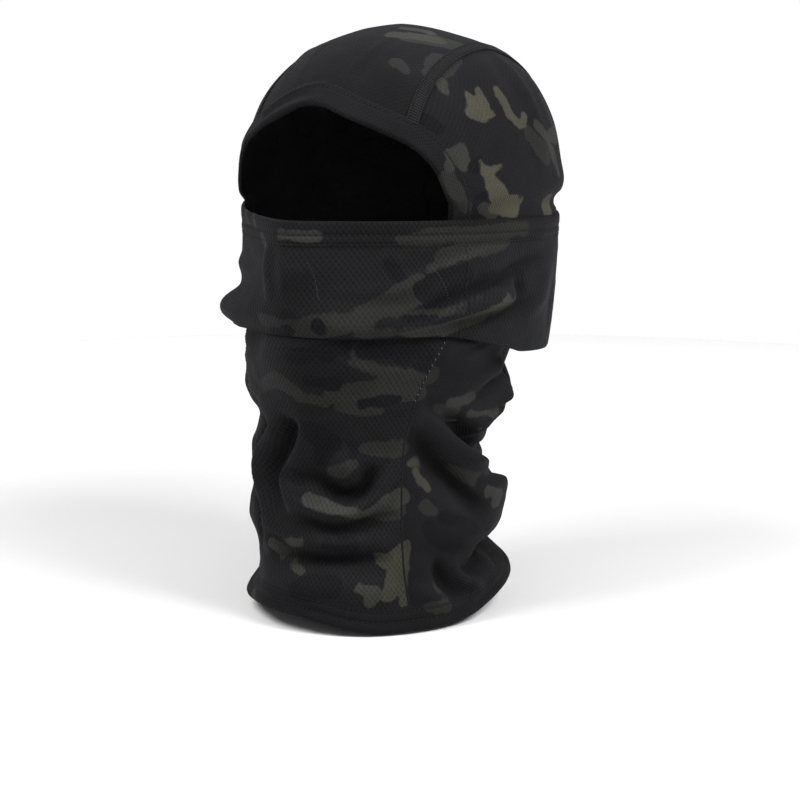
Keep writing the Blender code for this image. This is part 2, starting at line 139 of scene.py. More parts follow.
def step(x, a, b):
    t = np.clip((np.asarray(x, float) - a) / (b - a), 0, 1)
    return t * t * (3 - 2 * t)


def wrap(phi):
    return (np.asarray(phi, float) + 180.0) % 360.0 - 180.0


def unit(v):
    return v / np.maximum(np.linalg.norm(v, axis=-1, keepdims=True), 1e-9)


def dome(z):
    return np.sqrt(np.clip(1.0 - np.clip(z / DOME_H, 0, 1) ** DOME_E, 0.0, 1.0))


def centre_y(z):
    t = np.clip((-np.asarray(z, float) - 12.0) / 100.0, 0, 1)
    return -20.0 * t * t * (3 - 2 * t)


def section(phi, z, table):
    a = np.radians(phi)
    ax, yf, yb = (smooth(z, table, k) for k in (1, 2, 3))
    cy = centre_y(z)
    ay = np.where(np.cos(a) > 0, cy - yf, yb - cy)
    return ax * np.sin(a), -ay * np.cos(a), cy


def hood(phi, z):
    x, y, cy = section(phi, z, HOOD)
    r = dome(z)
    return np.stack([x * r, cy + y * r, np.broadcast_to(z, x.shape)], -1)


def neck(phi, z):
    x, y, cy = section(phi, z, NECK)
    front = np.where(np.cos(np.radians(phi)) > 0, 1.0, 0.0)
    chin = smooth(z, CHIN, 1) * np.exp(-(np.abs(x) / smooth(z, CHIN, 2)) ** 1.7)
    return np.stack([x, cy + y - chin * front, np.broadcast_to(z, x.shape)], -1)


def cover(phi, z):
    x, y, cy = section(phi, z, COVER)
    front = np.where(np.cos(np.radians(phi)) > 0, 1.0, 0.0)
    nose = smooth(z, NOSE, 1) * np.exp(-(np.abs(x) / smooth(z, NOSE, 2)) ** 1.7)
    w = wrap(phi)
    rise = smooth(w, ROLL, 2) * np.exp(-((z - smooth(w, ROLL, 1)) / 9.5) ** 2)
    length = np.maximum(np.hypot(x, y), 1e-6)
    x = x + rise * x / length
    y = y + rise * y / length - nose * front
    return np.stack([x, cy + y, np.broadcast_to(z, x.shape)], -1)


def hood_inverse(p):
    """Angle and z of a point that lies close to the hood's surface."""
    z = np.clip(p[..., 2], -125, 97.0)
    ax, yf, yb = (smooth(z, HOOD, k) for k in (1, 2, 3))
    cy = centre_y(z)
    dy = p[..., 1] - cy
    ay = np.where(dy < 0, cy - yf, yb - cy)
    return np.degrees(np.arctan2(p[..., 0] / ax, -dy / ay)), z


def hood_ray(x, tau):
    """Point of the hood at width x, in direction tau round the ear axis."""
    tau = np.radians(tau)
    lo, hi = np.full(np.shape(x), 5.0), np.full(np.shape(x), 220.0)
    for _ in range(44):
        mid = (lo + hi) / 2
        y, z = -mid * np.cos(tau), mid * np.sin(tau)
        ax, yf, yb = (smooth(z, HOOD, k) for k in (1, 2, 3))
        cy = centre_y(z)
        ay = np.where(y < cy, cy - yf, yb - cy)
        r2 = np.where(z < DOME_H, dome(z) ** 2, -1.0)
        inside = (x / ax) ** 2 + ((y - cy) / ay) ** 2 < r2
        lo, hi = np.where(inside, mid, lo), np.where(inside, hi, mid)
    return np.stack([x, -lo * np.cos(tau), lo * np.sin(tau)], -1)


def resample(p, n, lo=0.0, hi=1.0):
    p = np.asarray(p, float)
    s = np.concatenate([[0], np.cumsum(np.linalg.norm(np.diff(p, axis=0), axis=1))])
    t = np.linspace(lo, hi, n) * s[-1]
    return np.stack([np.interp(t, s, p[:, k]) for k in range(p.shape[1])], -1)


def catmull(points, per=12, mirror=False):
    """Open Catmull-Rom curve through the points."""
    p = np.asarray(points, float)
    if mirror:
        first, last = p[1] * [-1, 1], p[-2] * [-1, 1]
    else:
        first, last = 2 * p[0] - p[1], 2 * p[-1] - p[-2]
    q = np.vstack([first, p, last])
    out = []
    for i in range(1, len(q) - 2):
        for t in np.linspace(0, 1, per, endpoint=False):
            out.append(0.5 * (2 * q[i] + (q[i + 1] - q[i - 1]) * t
                       + (2 * q[i - 1] - 5 * q[i] + 4 * q[i + 1] - q[i + 2]) * t * t
                       + (3 * q[i] - 3 * q[i + 1] + q[i + 2] - q[i - 1]) * t**3))
    out.append(q[-2])
    return np.array(out)


def opening_band(offset, n=481):
    """Right half of the opening's edge moved outwards by an offset: angle, z."""
    pz = resample(catmull(OPENING, 16, True), n)
    p = hood(pz[:, 0], pz[:, 1])
    t = np.gradient(p, axis=0)
    t[0], t[-1] = [t[0, 0], 0, 0], [t[-1, 0], 0, 0]
    t = unit(t)
    e = 0.4
    su = hood(pz[:, 0] + e, pz[:, 1]) - hood(pz[:, 0] - e, pz[:, 1])
    sv = hood(pz[:, 0], pz[:, 1] + e) - hood(pz[:, 0], pz[:, 1] - e)
    n_ = unit(np.cross(su, sv))
    out = unit(np.cross(n_, t))
    centre = np.array([0.0, -90.0, -10.0])
    out = np.where(np.sum(out * (p - centre), -1, keepdims=True) < 0, -out, out)
    q = p + out * offset
    phi, z = hood_inverse(q)
    phi[0] = phi[-1] = 0.0
    return np.stack([phi, z], -1)


# -------------------------------------------------------------------- noise
def lattice(seed):
    return np.random.default_rng(seed).random((24, 24, 24)) * 2 - 1


LATTICES = {k: lattice(40 + k) for k in range(6)}


def noise(p, size, k=0):
    """Smooth value noise, -1 to 1, with cells of the given size in mm."""
    q = np.asarray(p, float) / np.asarray(size, float) + 100.0
    i = np.floor(q).astype(int)
    f = q - i
    f = f * f * (3 - 2 * f)
    g = LATTICES[k]
    out = 0.0
    for dx in (0, 1):
        for dy in (0, 1):
            for dz in (0, 1):
                w = ((f[..., 0] if dx else 1 - f[..., 0])
                     * (f[..., 1] if dy else 1 - f[..., 1])
                     * (f[..., 2] if dz else 1 - f[..., 2]))
                out = out + w * g[(i[..., 0] + dx) % 24, (i[..., 1] + dy) % 24,
                                  (i[..., 2] + dz) % 24]
    return out


# ------------------------------------------------------------ fold strokes
_phi = np.radians(np.linspace(-180, 180, 1441))
_ay = np.where(np.cos(_phi) > 0, 84.0, 66.0)
_ds = np.hypot(66.0 * np.cos(_phi), _ay * np.sin(_phi)) * (_phi[1] - _phi[0])
_s = np.concatenate([[0], np.cumsum((_ds[1:] + _ds[:-1]) / 2)])
_s -= np.interp(0, np.degrees(_phi), _s)


def arc(phi):
    """Distance in mm round the neck from the front, for an angle."""
    return np.interp(wrap(phi), np.degrees(_phi), _s)


def stroke(PH, Z, points, wl, wr, sharp=2.0):
    """A ridge (or valley, h < 0) along points (angle, z, height).

    wl and wr are its half widths in mm on the left and right of the way that
    it is drawn, with the angle to the right and z up.
    """
    q = catmull(points, 14)
    q = np.stack([arc(q[:, 0]), q[:, 1], q[:, 2]], -1)
    S = arc(PH)
    reach = 2.6 * max(wl, wr)
    near = ((S > q[:, 0].min() - reach) & (S < q[:, 0].max() + reach)
            & (Z > q[:, 1].min() - reach) & (Z < q[:, 1].max() + reach))
    out = np.zeros(np.shape(S))
    s, z = S[near], Z[near]
    best = np.full(s.shape, 1e9)
    sign = np.ones(s.shape)
    height = np.zeros(s.shape)
    for a, b in zip(q[:-1], q[1:]):
        d = b[:2] - a[:2]
        L = max(float(d @ d), 1e-9)
        t = np.clip(((s - a[0]) * d[0] + (z - a[1]) * d[1]) / L, 0, 1)
        ex, ez = s - a[0] - t * d[0], z - a[1] - t * d[1]
        dist = ex * ex + ez * ez
        m = dist < best
        best = np.where(m, dist, best)
        sign = np.where(m, np.where(d[0] * ez - d[1] * ex > 0, 1.0, -1.0), sign)
        height = np.where(m, a[2] + (b[2] - a[2]) * t, height)
    w = np.where(sign > 0, wl, wr)
    out[near] = height * np.exp(-(np.sqrt(best) / w) ** sharp)
    return out


def soften(A, nu=9, nv=13):
    """Moving average of a field on the angle by z grid, twice."""
    for _ in range(2):
        R = A[:-1]
        R = sum(np.roll(R, k, 0) for k in range(-nu, nu + 1)) / (2 * nu + 1)
        R = np.concatenate([R, R[:1]], 0)
        R = np.pad(R, ((0, 0), (nv + 1, nv)), mode="edge")
        R = np.cumsum(R, axis=1)
        A = (R[:, 2 * nv + 1:] - R[:, :-2 * nv - 1]) / (2 * nv + 1)
    return A


class Skin:
    """A displaced surface on a fine grid of angle and z, sampled in between."""

    def __init__(self, fn, z0, z1, displace):
        self.phi = np.linspace(-180, 180, 601)
        self.z = np.linspace(z0, z1, int(round((z1 - z0) / 0.6)) + 1)
        PH, Z = np.meshgrid(self.phi, self.z, indexing="ij")
        P = fn(PH, Z)
        N = self.normals(P)
        self.d = displace(PH, Z, P)
        P = P + N * self.d[..., None]
        P[-1] = P[0]
        self.P, self.N = P, self.normals(P)
        # pocket_shade: how far the folded surface lies below its local average; it becomes painted
        # shade in fold hollows and a painted highlight on crests
        self.pocket_shade = (soften(self.d) - self.d)[..., None]

    def normals(self, P):
        Q = P[:-1]
        du = np.roll(Q, -1, 0) - np.roll(Q, 1, 0)
        dv = np.gradient(Q, axis=1)
        n = unit(np.cross(du, dv))
        if np.sum(n * (Q - [0, -10, 0]) * [1, 1, 0]) < 0:
            n = -n
        return np.concatenate([n, n[:1]], 0)

    def sample(self, A, phi, z):
        u = (wrap(phi) + 180.0) / 360.0 * (len(self.phi) - 1)
        v = (np.asarray(z, float) - self.z[0]) / (self.z[1] - self.z[0])
        u = np.clip(u, 0, len(self.phi) - 1.001)
        v = np.clip(v, 0, len(self.z) - 1.001)
        u, v = np.broadcast_arrays(u, v)
        i, j = u.astype(int), v.astype(int)
        f, g = (u - i)[..., None], (v - j)[..., None]
        return ((A[i, j] * (1 - f) + A[i + 1, j] * f) * (1 - g)
                + (A[i, j + 1] * (1 - f) + A[i + 1, j + 1] * f) * g)

    def at(self, phi, z, lift=0.0):
        p = self.sample(self.P, phi, z)
        n = unit(self.sample(self.N, phi, z))
        return p + n * (lift if np.isscalar(lift) else np.asarray(lift)[..., None]), n


# ------------------------------------------------------------------- folds
NECK_L = [(-226, 9.0), (-216, 9.0), (-209, -1.0), (-203, -3.5), (-195, -3.0), (-188, -0.5), (-181, 1.7),
          (-174, 4.6), (-167, 6.4), (-160, 6.0), (-153, 4.6), (-146, 4.6), (-139, 5.6),
          (-131, 6.0), (-124, 3.6), (-117, 1.0), (-110, -1.3), (-103, 2.9), (-97, 4.2),
          (-89, 4.6), (-82, 5.0), (-70, 3.0)]
NECK_R = [(-222, 4.6), (-216, 4.6), (-210, 4.0), (-203, 2.0), (-195, -10.0), (-188, -15.5),
          (-181, -3.0), (-174, 0.6), (-167, 1.4), (-160, -0.6), (-153, -4.0), (-146, -17.0),
          (-139, -17.5), (-131, -8.6), (-124, -7.4), (-117, -3.4), (-110, 1.6), (-103, 3.6),
          (-97, 1.0), (-89, -6.6), (-82, -11.6), (-70, -6.0)]


def fold_neck(PH, Z, P):
    w = wrap(PH)
    live = step(-Z, 64, 82)
    d = smooth(Z, NECK_L) * np.exp(-((w + 62) / 27) ** 2)
    right = np.exp(-(np.where(w > 112, (w - 112) / 34, (w - 112) / 24)) ** 2)
    d = d + smooth(Z, NECK_R) * right
    S = lambda pts, wl, wr, k=2.0: 1.3 * stroke(PH, Z, pts, wl, wr, k)
    # upright pleat on the wearer's right of the throat, and the groove beyond
    d += S([(-34, -101, 0), (-26, -106, 1.6), (-20, -112, 2.6), (-28, -122, 3.2),
            (-34, -135.5, 4), (-30, -151.5, 4), (-25, -161, 3.6), (-26.5, -172.5, 2.2),
            (-31, -184, 0)], 10, 2.6)
    d += S([(-44, -100, 0), (-33, -108, -3), (-28, -114, -4.6), (-36, -124, -6),
            (-42, -136, -7), (-38, -152, -7), (-32, -162, -5.6), (-34, -173, -3.6),
            (-40, -186, 0)], 3.0, 5)
    # hollow beside it and the C-shaped crest
    d += S([(-7, -104, 0), (-8, -111, -5), (-12, -121, -6), (-19, -131, -5.5),
            (-22, -141, -4.5), (-19, -151, -3), (-12, -160, 0)], 6, 6)
    d += S([(0, -103, 0), (0, -113, 1.6), (-5, -124, 2.2), (-10.5, -134, 2.8),
            (-12, -142, 2.8), (-9.5, -151, 2), (-4, -160, 0)], 11, 2.8)
    # drape over the throat: hollow, ridge under it, second hollow
    d += S([(-12, -138, 0), (-2, -138, -2.2), (7, -140, -3.8), (14, -144, -5.8),
            (21, -148, -7.2), (28, -145, -6), (32, -138, -3.8), (34, -129, 0)], 6, 4.4)
    d += S([(12, -124, 0), (20, -129, 2.6), (24, -131, 1.5), (28, -124, 0)], 8, 7)
    d += S([(-13, -148, 0), (-4, -152, 1.5), (9, -155, 2.6), (21, -155.5, 3.4),
            (31, -150, 3.4), (37, -141, 3), (41, -133, 1.6), (45, -127, 0)], 3.6, 5)
    d += S([(-4, -159, 0), (6, -162, -2.4), (16, -164.5, -3.2), (26, -162.5, -3.2),
            (36, -158, -2.4), (44, -155, 0)], 4, 4.5)
    d += S([(-14, -170, 0), (0, -173, 1.6), (16, -173.5, 2), (34, -171, 1.6),
            (44, -170, 0)], 5, 6)
    d += S([(-24, -184, 0), (-10, -183, -2.6), (4, -181.5, -4), (16, -181, -4.2),
            (30, -180, -3.2), (42, -180, 0)], 5, 4)
    d += S([(-30, -171, 0), (-20, -175, -2.2), (-12, -178, -1.6), (-6, -181, 0)], 5, 5)
    d += S([(-40, -193, 0), (-20, -196, 1.6), (5, -197, 2.2), (30, -196, 1.8),
            (44, -194, 0)], 7, 8)
    # side: the long diagonal fold and the hollow over it
    d += S([(48, -96, 0), (55, -106, 3.4), (68, -118.5, 6.5), (82, -131, 9), (98, -141, 9.5),
            (112, -149, 8.5), (124, -156, 4), (136, -163, 0)], 3.0, 12)
    d += S([(60, -104, 0), (70, -114, -5), (84, -125, -9.5), (97, -134, -10),
            (110, -141, -6), (120, -147, 0)], 6, 4)
    d += S([(47.5, -110, 0), (53, -118, -3.4), (61, -129, -5.2), (71, -141, -6.2),
            (83, -155, -5), (93, -166, 0)], 2.8, 9)
    # slack over the hollow
    d += S([(72, -80, 0), (88, -82, 2), (99, -91, 3.2), (103, -102, 3.4), (100, -112, 2.6),
            (90, -122, 2), (84, -130, 0)], 5, 8)
    d += S([(62, -92, 0), (78, -90, 1.6), (92, -84, 2), (108, -78, 0)], 3.5, 5)
    d += S([(66, -99, 0), (80, -97, -1.6), (92, -92, -1.8), (104, -86, 0)], 4, 4)
    d += S([(106, -86, 0), (110, -92, -2.6), (113, -99, -2), (114, -105, 0)], 2.6, 2.6)
    d += S([(86, -112, 0), (98, -108, -2), (108, -104, -2), (116, -102, 0)], 2.8, 3.2)
    # crumple above the hem at the side
    d += S([(59, -183, 0), (62, -190, -4.2), (64.5, -197, -5.6), (69, -203, -4),
            (76, -206, 0)], 5, 5)
    d += S([(69, -187, 0), (71.5, -194, 2.4), (74, -200, 2.8), (79, -204, 1.4),
            (84, -206, 0)], 3.4, 2)
    d += S([(70, -192, 0), (78, -193, -3.2), (86, -191.5, -4.6), (94, -189.5, -4.2),
            (103, -188, 0)], 2.4, 3)
    d += S([(70, -201, 0), (80, -199.5, 2.4), (92, -197, 3.2), (104, -194.5, 2.6),
            (116, -192, 0)], 3, 4.6)
    d += S([(53, -196, 0), (56, -203, 1.6), (60, -210, 0)], 5, 4)
    d += S([(50, -168, 0), (62, -171, 1.8), (76, -174, 2.2), (92, -176, 1.6),
            (106, -177, 0)], 5, 7)
    d += S([(52, -180, 0), (64, -180, -1.4), (80, -182, -2), (96, -183, -1.4),
            (108, -183, 0)], 4, 4)
    # back and far side, falling in loose diagonal folds
    d += S([(-50, -92, 0), (-66, -104, 3), (-86, -116, 4.5), (-110, -124, 4.5),
            (-134, -128, 3), (-156, -130, 0)], 9, 4)
    d += S([(-56, -112, 0), (-76, -124, -3.6), (-98, -133, -4.6), (-122, -139, -3.6),
            (-146, -143, 0)], 5, 5)
    d += S([(-60, -132, 0), (-80, -145, 2.6), (-104, -153, 3.6), (-130, -158, 3),
            (-156, -161, 0)], 8, 5)
    d += S([(-58, -158, 0), (-78, -167, -3), (-100, -172, -3.6), (-124, -176, -2.6),
            (-150, -178, 0)], 4, 5)
    d += S([(-62, -182, 0), (-84, -187, 2), (-108, -189, 2.6), (-136, -190, 0)], 5, 5)
    d += S([(128, -92, 0), (146, -100, 3), (166, -106, 4), (179.9, -110, 3)], 7, 5)
    d += S([(-180, -110, 3), (-162, -113, 2), (-146, -114, 0)], 7, 5)
    d += S([(132, -112, 0), (150, -120, -3), (168, -125, -3.6), (179.9, -128, -3)], 5, 5)
    d += S([(-180, -128, -3), (-166, -131, -1.6), (-152, -132, 0)], 5, 5)
    d += S([(136, -142, 0), (152, -146, 3), (168, -148, 3.6), (179.9, -149, 3)], 7, 5)
    d += S([(-180, -149, 3), (-168, -150, 1.6), (-156, -150, 0)], 7, 5)
    d += S([(130, -170, 0), (150, -172, -2.4), (170, -173, -2.8), (179.9, -173, -2.4)], 5, 5)
    d += S([(-180, -173, -2.4), (-166, -172, -1.2), (-152, -171, 0)], 5, 5)
    # small undulation everywhere
    d += 0.9 * noise(P, (26, 26, 13), 0) + 0.35 * noise(P, (9, 9, 5.5), 1)
    calm = 1 - 0.75 * np.exp(-((Z - smooth(w, HEM_EDGE)) / 7.0) ** 2)
    puff = 4.5 * np.exp(-((Z + 64) / 14.0) ** 2) * (1 - step(np.abs(w), 62, 84))
    puff = puff + 1.2 * np.exp(-((w + 48) / 18) ** 2) * np.exp(-((Z + 63) / 12.0) ** 2)
    puff = puff - 2.6 * np.exp(-((w - 12) / 26) ** 2) * np.exp(-((Z + 128) / 20.0) ** 2)
    d = d * live * calm + puff
    # never through the cover, wherever it has slid to
    polar = lambda q: (np.degrees(np.arctan2(q[..., 0], -(q[..., 1] + 12))),
                       np.hypot(q[..., 0], q[..., 1] + 12))
    angle, radius = polar(P)
    for slid in (0.0, 15.0, 30.0, 45.0, 60.0, 75.0, 90.0):
        there = -222.0 + (Z[0] + 222.0) * (1 - 0.3 * slid / 90.0) + slid
        for j in np.nonzero((there > -81.0) & (there < 3.0))[0]:
            c, _ = SKIN_COVER.at(SKIN_COVER.phi[:-1], there[j], 0.0)
            a, r = polar(c)
            order = np.argsort(a)
            room = np.interp(angle[:, j], a[order], r[order], period=360.0) - radius[:, j] - 1.9
            inside = there[j] > smooth(w[:, j], COVER_EDGE) - 1.0
            d[:, j] = np.where(inside, np.minimum(d[:, j], room), d[:, j])
    return d


def fold_cover(PH, Z, P):
    w = wrap(PH)
    S = lambda pts, wl, wr, k=2.0: 1.35 * stroke(PH, Z, pts, wl, wr, k)
    live = step(-Z, 10, 16)
    d = S([(-7, -11, 0), (-6.5, -20, -1.0), (-6, -34, -1.1), (-4, -46, 0)], 5, 3)
    d += S([(4, -52.5, 0), (16, -55, 1.6), (33, -55.5, 2.4), (49, -51, 2.8), (63, -46, 3.4),
           (76, -44, 2.6), (82, -44, 0)], 6, 4)
    d += S([(36, -52, 0), (44, -49, -1.8), (52, -42.5, -3.2), (62, -37, -3.8),
            (76, -30.5, -3), (90, -25.5, -1.6), (102, -22, 0)], 5, 3.6)
    d += S([(82, -49, 0), (84, -43, -2), (82, -38, -2), (78, -36, 0)], 3, 3)
    d += S([(50, -56, 0), (62, -55.5, -1.5), (74, -53, -2.6), (84, -49.5, -2),
            (92, -46, 0)], 3, 4)
    d += S([(34, -33, 0), (49, -26.5, 1.6), (64, -20, 1.8), (84, -14, 0)], 4, 7)
    d += S([(14, -40, 0), (24, -42, -1), (38, -40, -1.4), (48, -35, 0)], 4, 4)
    d += S([(88, -58, 0), (96, -50, 1.6), (100, -38, 1.4), (101, -26, 0)], 6, 6)
    d += S([(108, -70, 0), (112, -56, -1.4), (114, -42, -1), (114, -30, 0)], 5, 5)
    d += S([(-11.5, -4, 0), (-10.5, -14, 1.0), (-10.5, -30, 1.3), (-8.5, -46, 0)], 5, 2.4)
    d += S([(-22, -48, 0), (-36, -44, -0.7), (-54, -42, -0.9), (-74, -44, -0.8),
            (-92, -48, 0)], 4, 5)
    d += S([(-26, -57, 0), (-44, -56, 1.4), (-62, -56, 2.2), (-80, -58, 1.4),
            (-96, -62, 0)], 4, 5)
    d += S([(-24, -28, 0), (-40, -30, 1.2), (-58, -30, 1.4), (-76, -28, 0)], 5, 5)
    d += S([(-100, -68, 0), (-120, -52, 2.4), (-142, -40, 2.8), (-164, -33, 0)], 8, 4)
    d += S([(-128, -72, 0), (-146, -60, -2), (-166, -52, 0)], 5, 5)
    d += S([(126, -66, 0), (146, -54, 2), (168, -46, 2), (179.9, -44, 1)], 8, 5)
    d += 0.5 * noise(P, (30, 30, 12), 2) + 0.22 * noise(P, (9, 9, 5), 3)
    return d * live + 1.5 * np.exp(-((w - 118) / 36) ** 2)


TEMPLE = [([(-37, -82, 53), (-27, -84, 59), (-17, -85, 64), (-7, -84, 66.5), (3, -83, 68)],
           1.7, 0.9),
          ([(-34, -86, 51), (-20, -87, 58.5), (-7, -87, 63)], 2.2, -0.7),
          ([(-36, -86, 48), (-24, -89, 53.5), (-10, -90, 58), (2, -89, 61)], 1.7, 0.7)]


def far(P, pts):
    """Distance of points from a polyline in space."""
    q = np.array(pts, float)
    best = np.full(P.shape[:-1], 1e9)
    for a, b in zip(q[:-1], q[1:]):
        d = b - a
        t = np.clip(((P - a) @ d) / float(d @ d), 0, 1)
        best = np.minimum(best, np.linalg.norm(P - a - t[..., None] * d, axis=-1))
    return best


def cover_top(phi):
    return smooth(wrap(phi), COVER_RIM) + cover_raise(phi)


def cover_raise(phi):
    """The cover's rim climbs a little on the wearer's right."""
    return 3.8 * np.exp(-((wrap(phi) + 66) / 24) ** 2)


def fold_hood(P):
    """Height of the hood's slack over the CAD surface, from points in mm."""
    x, y, z = P[..., 0], P[..., 1], P[..., 2]
    phi = np.degrees(np.arctan2(x, -y))
    g = lambda a, c, w: np.exp(-((a - c) / w) ** 2)
    d = -3.2 * g(phi, -58, 30) * step(z, 34, 52) * (1 - step(z, 90, 100))
    d += -2.4 * g(wrap(phi - 128), 0, 40) * g(z, 92, 8)
    d += 2.0 * g(wrap(phi - 112), 0, 26) * g(z, 13, 9)
    across = 0.857 * x + 0.515 * y
    d += 1.5 * g(across, -50, 15) * step(z, 60, 78)
    d += 1.3 * g(across, 45, 13) * step(z, 68, 82) + 1.2 * g(across, 76, 12) * g(z, 76, 12)
    d += -0.1 * g(across, -6, 22) * step(z, 84, 96)
    for pts, width, h in TEMPLE:
        d += h * np.exp(-(far(P, pts) / width) ** 2)
    # soft standing fold at the back of the side, and slack by the ear
    d += 1.8 * g(wrap(phi - 97), 0, 5.5) * step(z, 18, 34) * (1 - step(z, 72, 90))
    d += -1.2 * g(wrap(phi - 88), 0, 6) * step(z, 18, 34) * (1 - step(z, 70, 88))
    d += 1.4 * g(phi, 66, 10) * g(z, 18, 10)
    d += 1.4 * g(wrap(phi + 100), 0, 6) * g(z, 48, 26)
    # stretch lines from the forehead over the crown
    for c, k, a in ((14, 0.30, 0.5), (24, 0.25, 0.4), (-18, -0.2, 0.45), (-33, -0.3, 0.6)):
        line = x - c - k * (y + 70) * 0.3
        d += a * g(line, 0, 2.2) * step(z, 62, 74) * (1 - step(z, 88, 97)) * (y < 0)
    d += 0.55 * noise(P, (34, 34, 26), 4) + 0.18 * noise(P, (11, 11, 11), 5)
    d = d * step(z, -4, 12) + 0.3 * noise(P, (30, 30, 14), 4) * (1 - step(z, -4, 12))
    # at the cover's rim the hood lies against it from inside
    side = step(np.abs(phi), 60, 76)
    top = cover_top(phi)
    c, h = cover(phi, np.minimum(z, top)), hood(phi, z)
    gap = np.hypot(c[..., 0], c[..., 1]) - np.hypot(h[..., 0], h[..., 1]) - 1.35
    gap = gap + 1.5 * np.exp(-((phi - 118) / 36) ** 2)
    k = side * (1 - step(z - top, 2.0, 16.0)) * step(z, -24, -7)
    return d * (1 - k) + gap * k


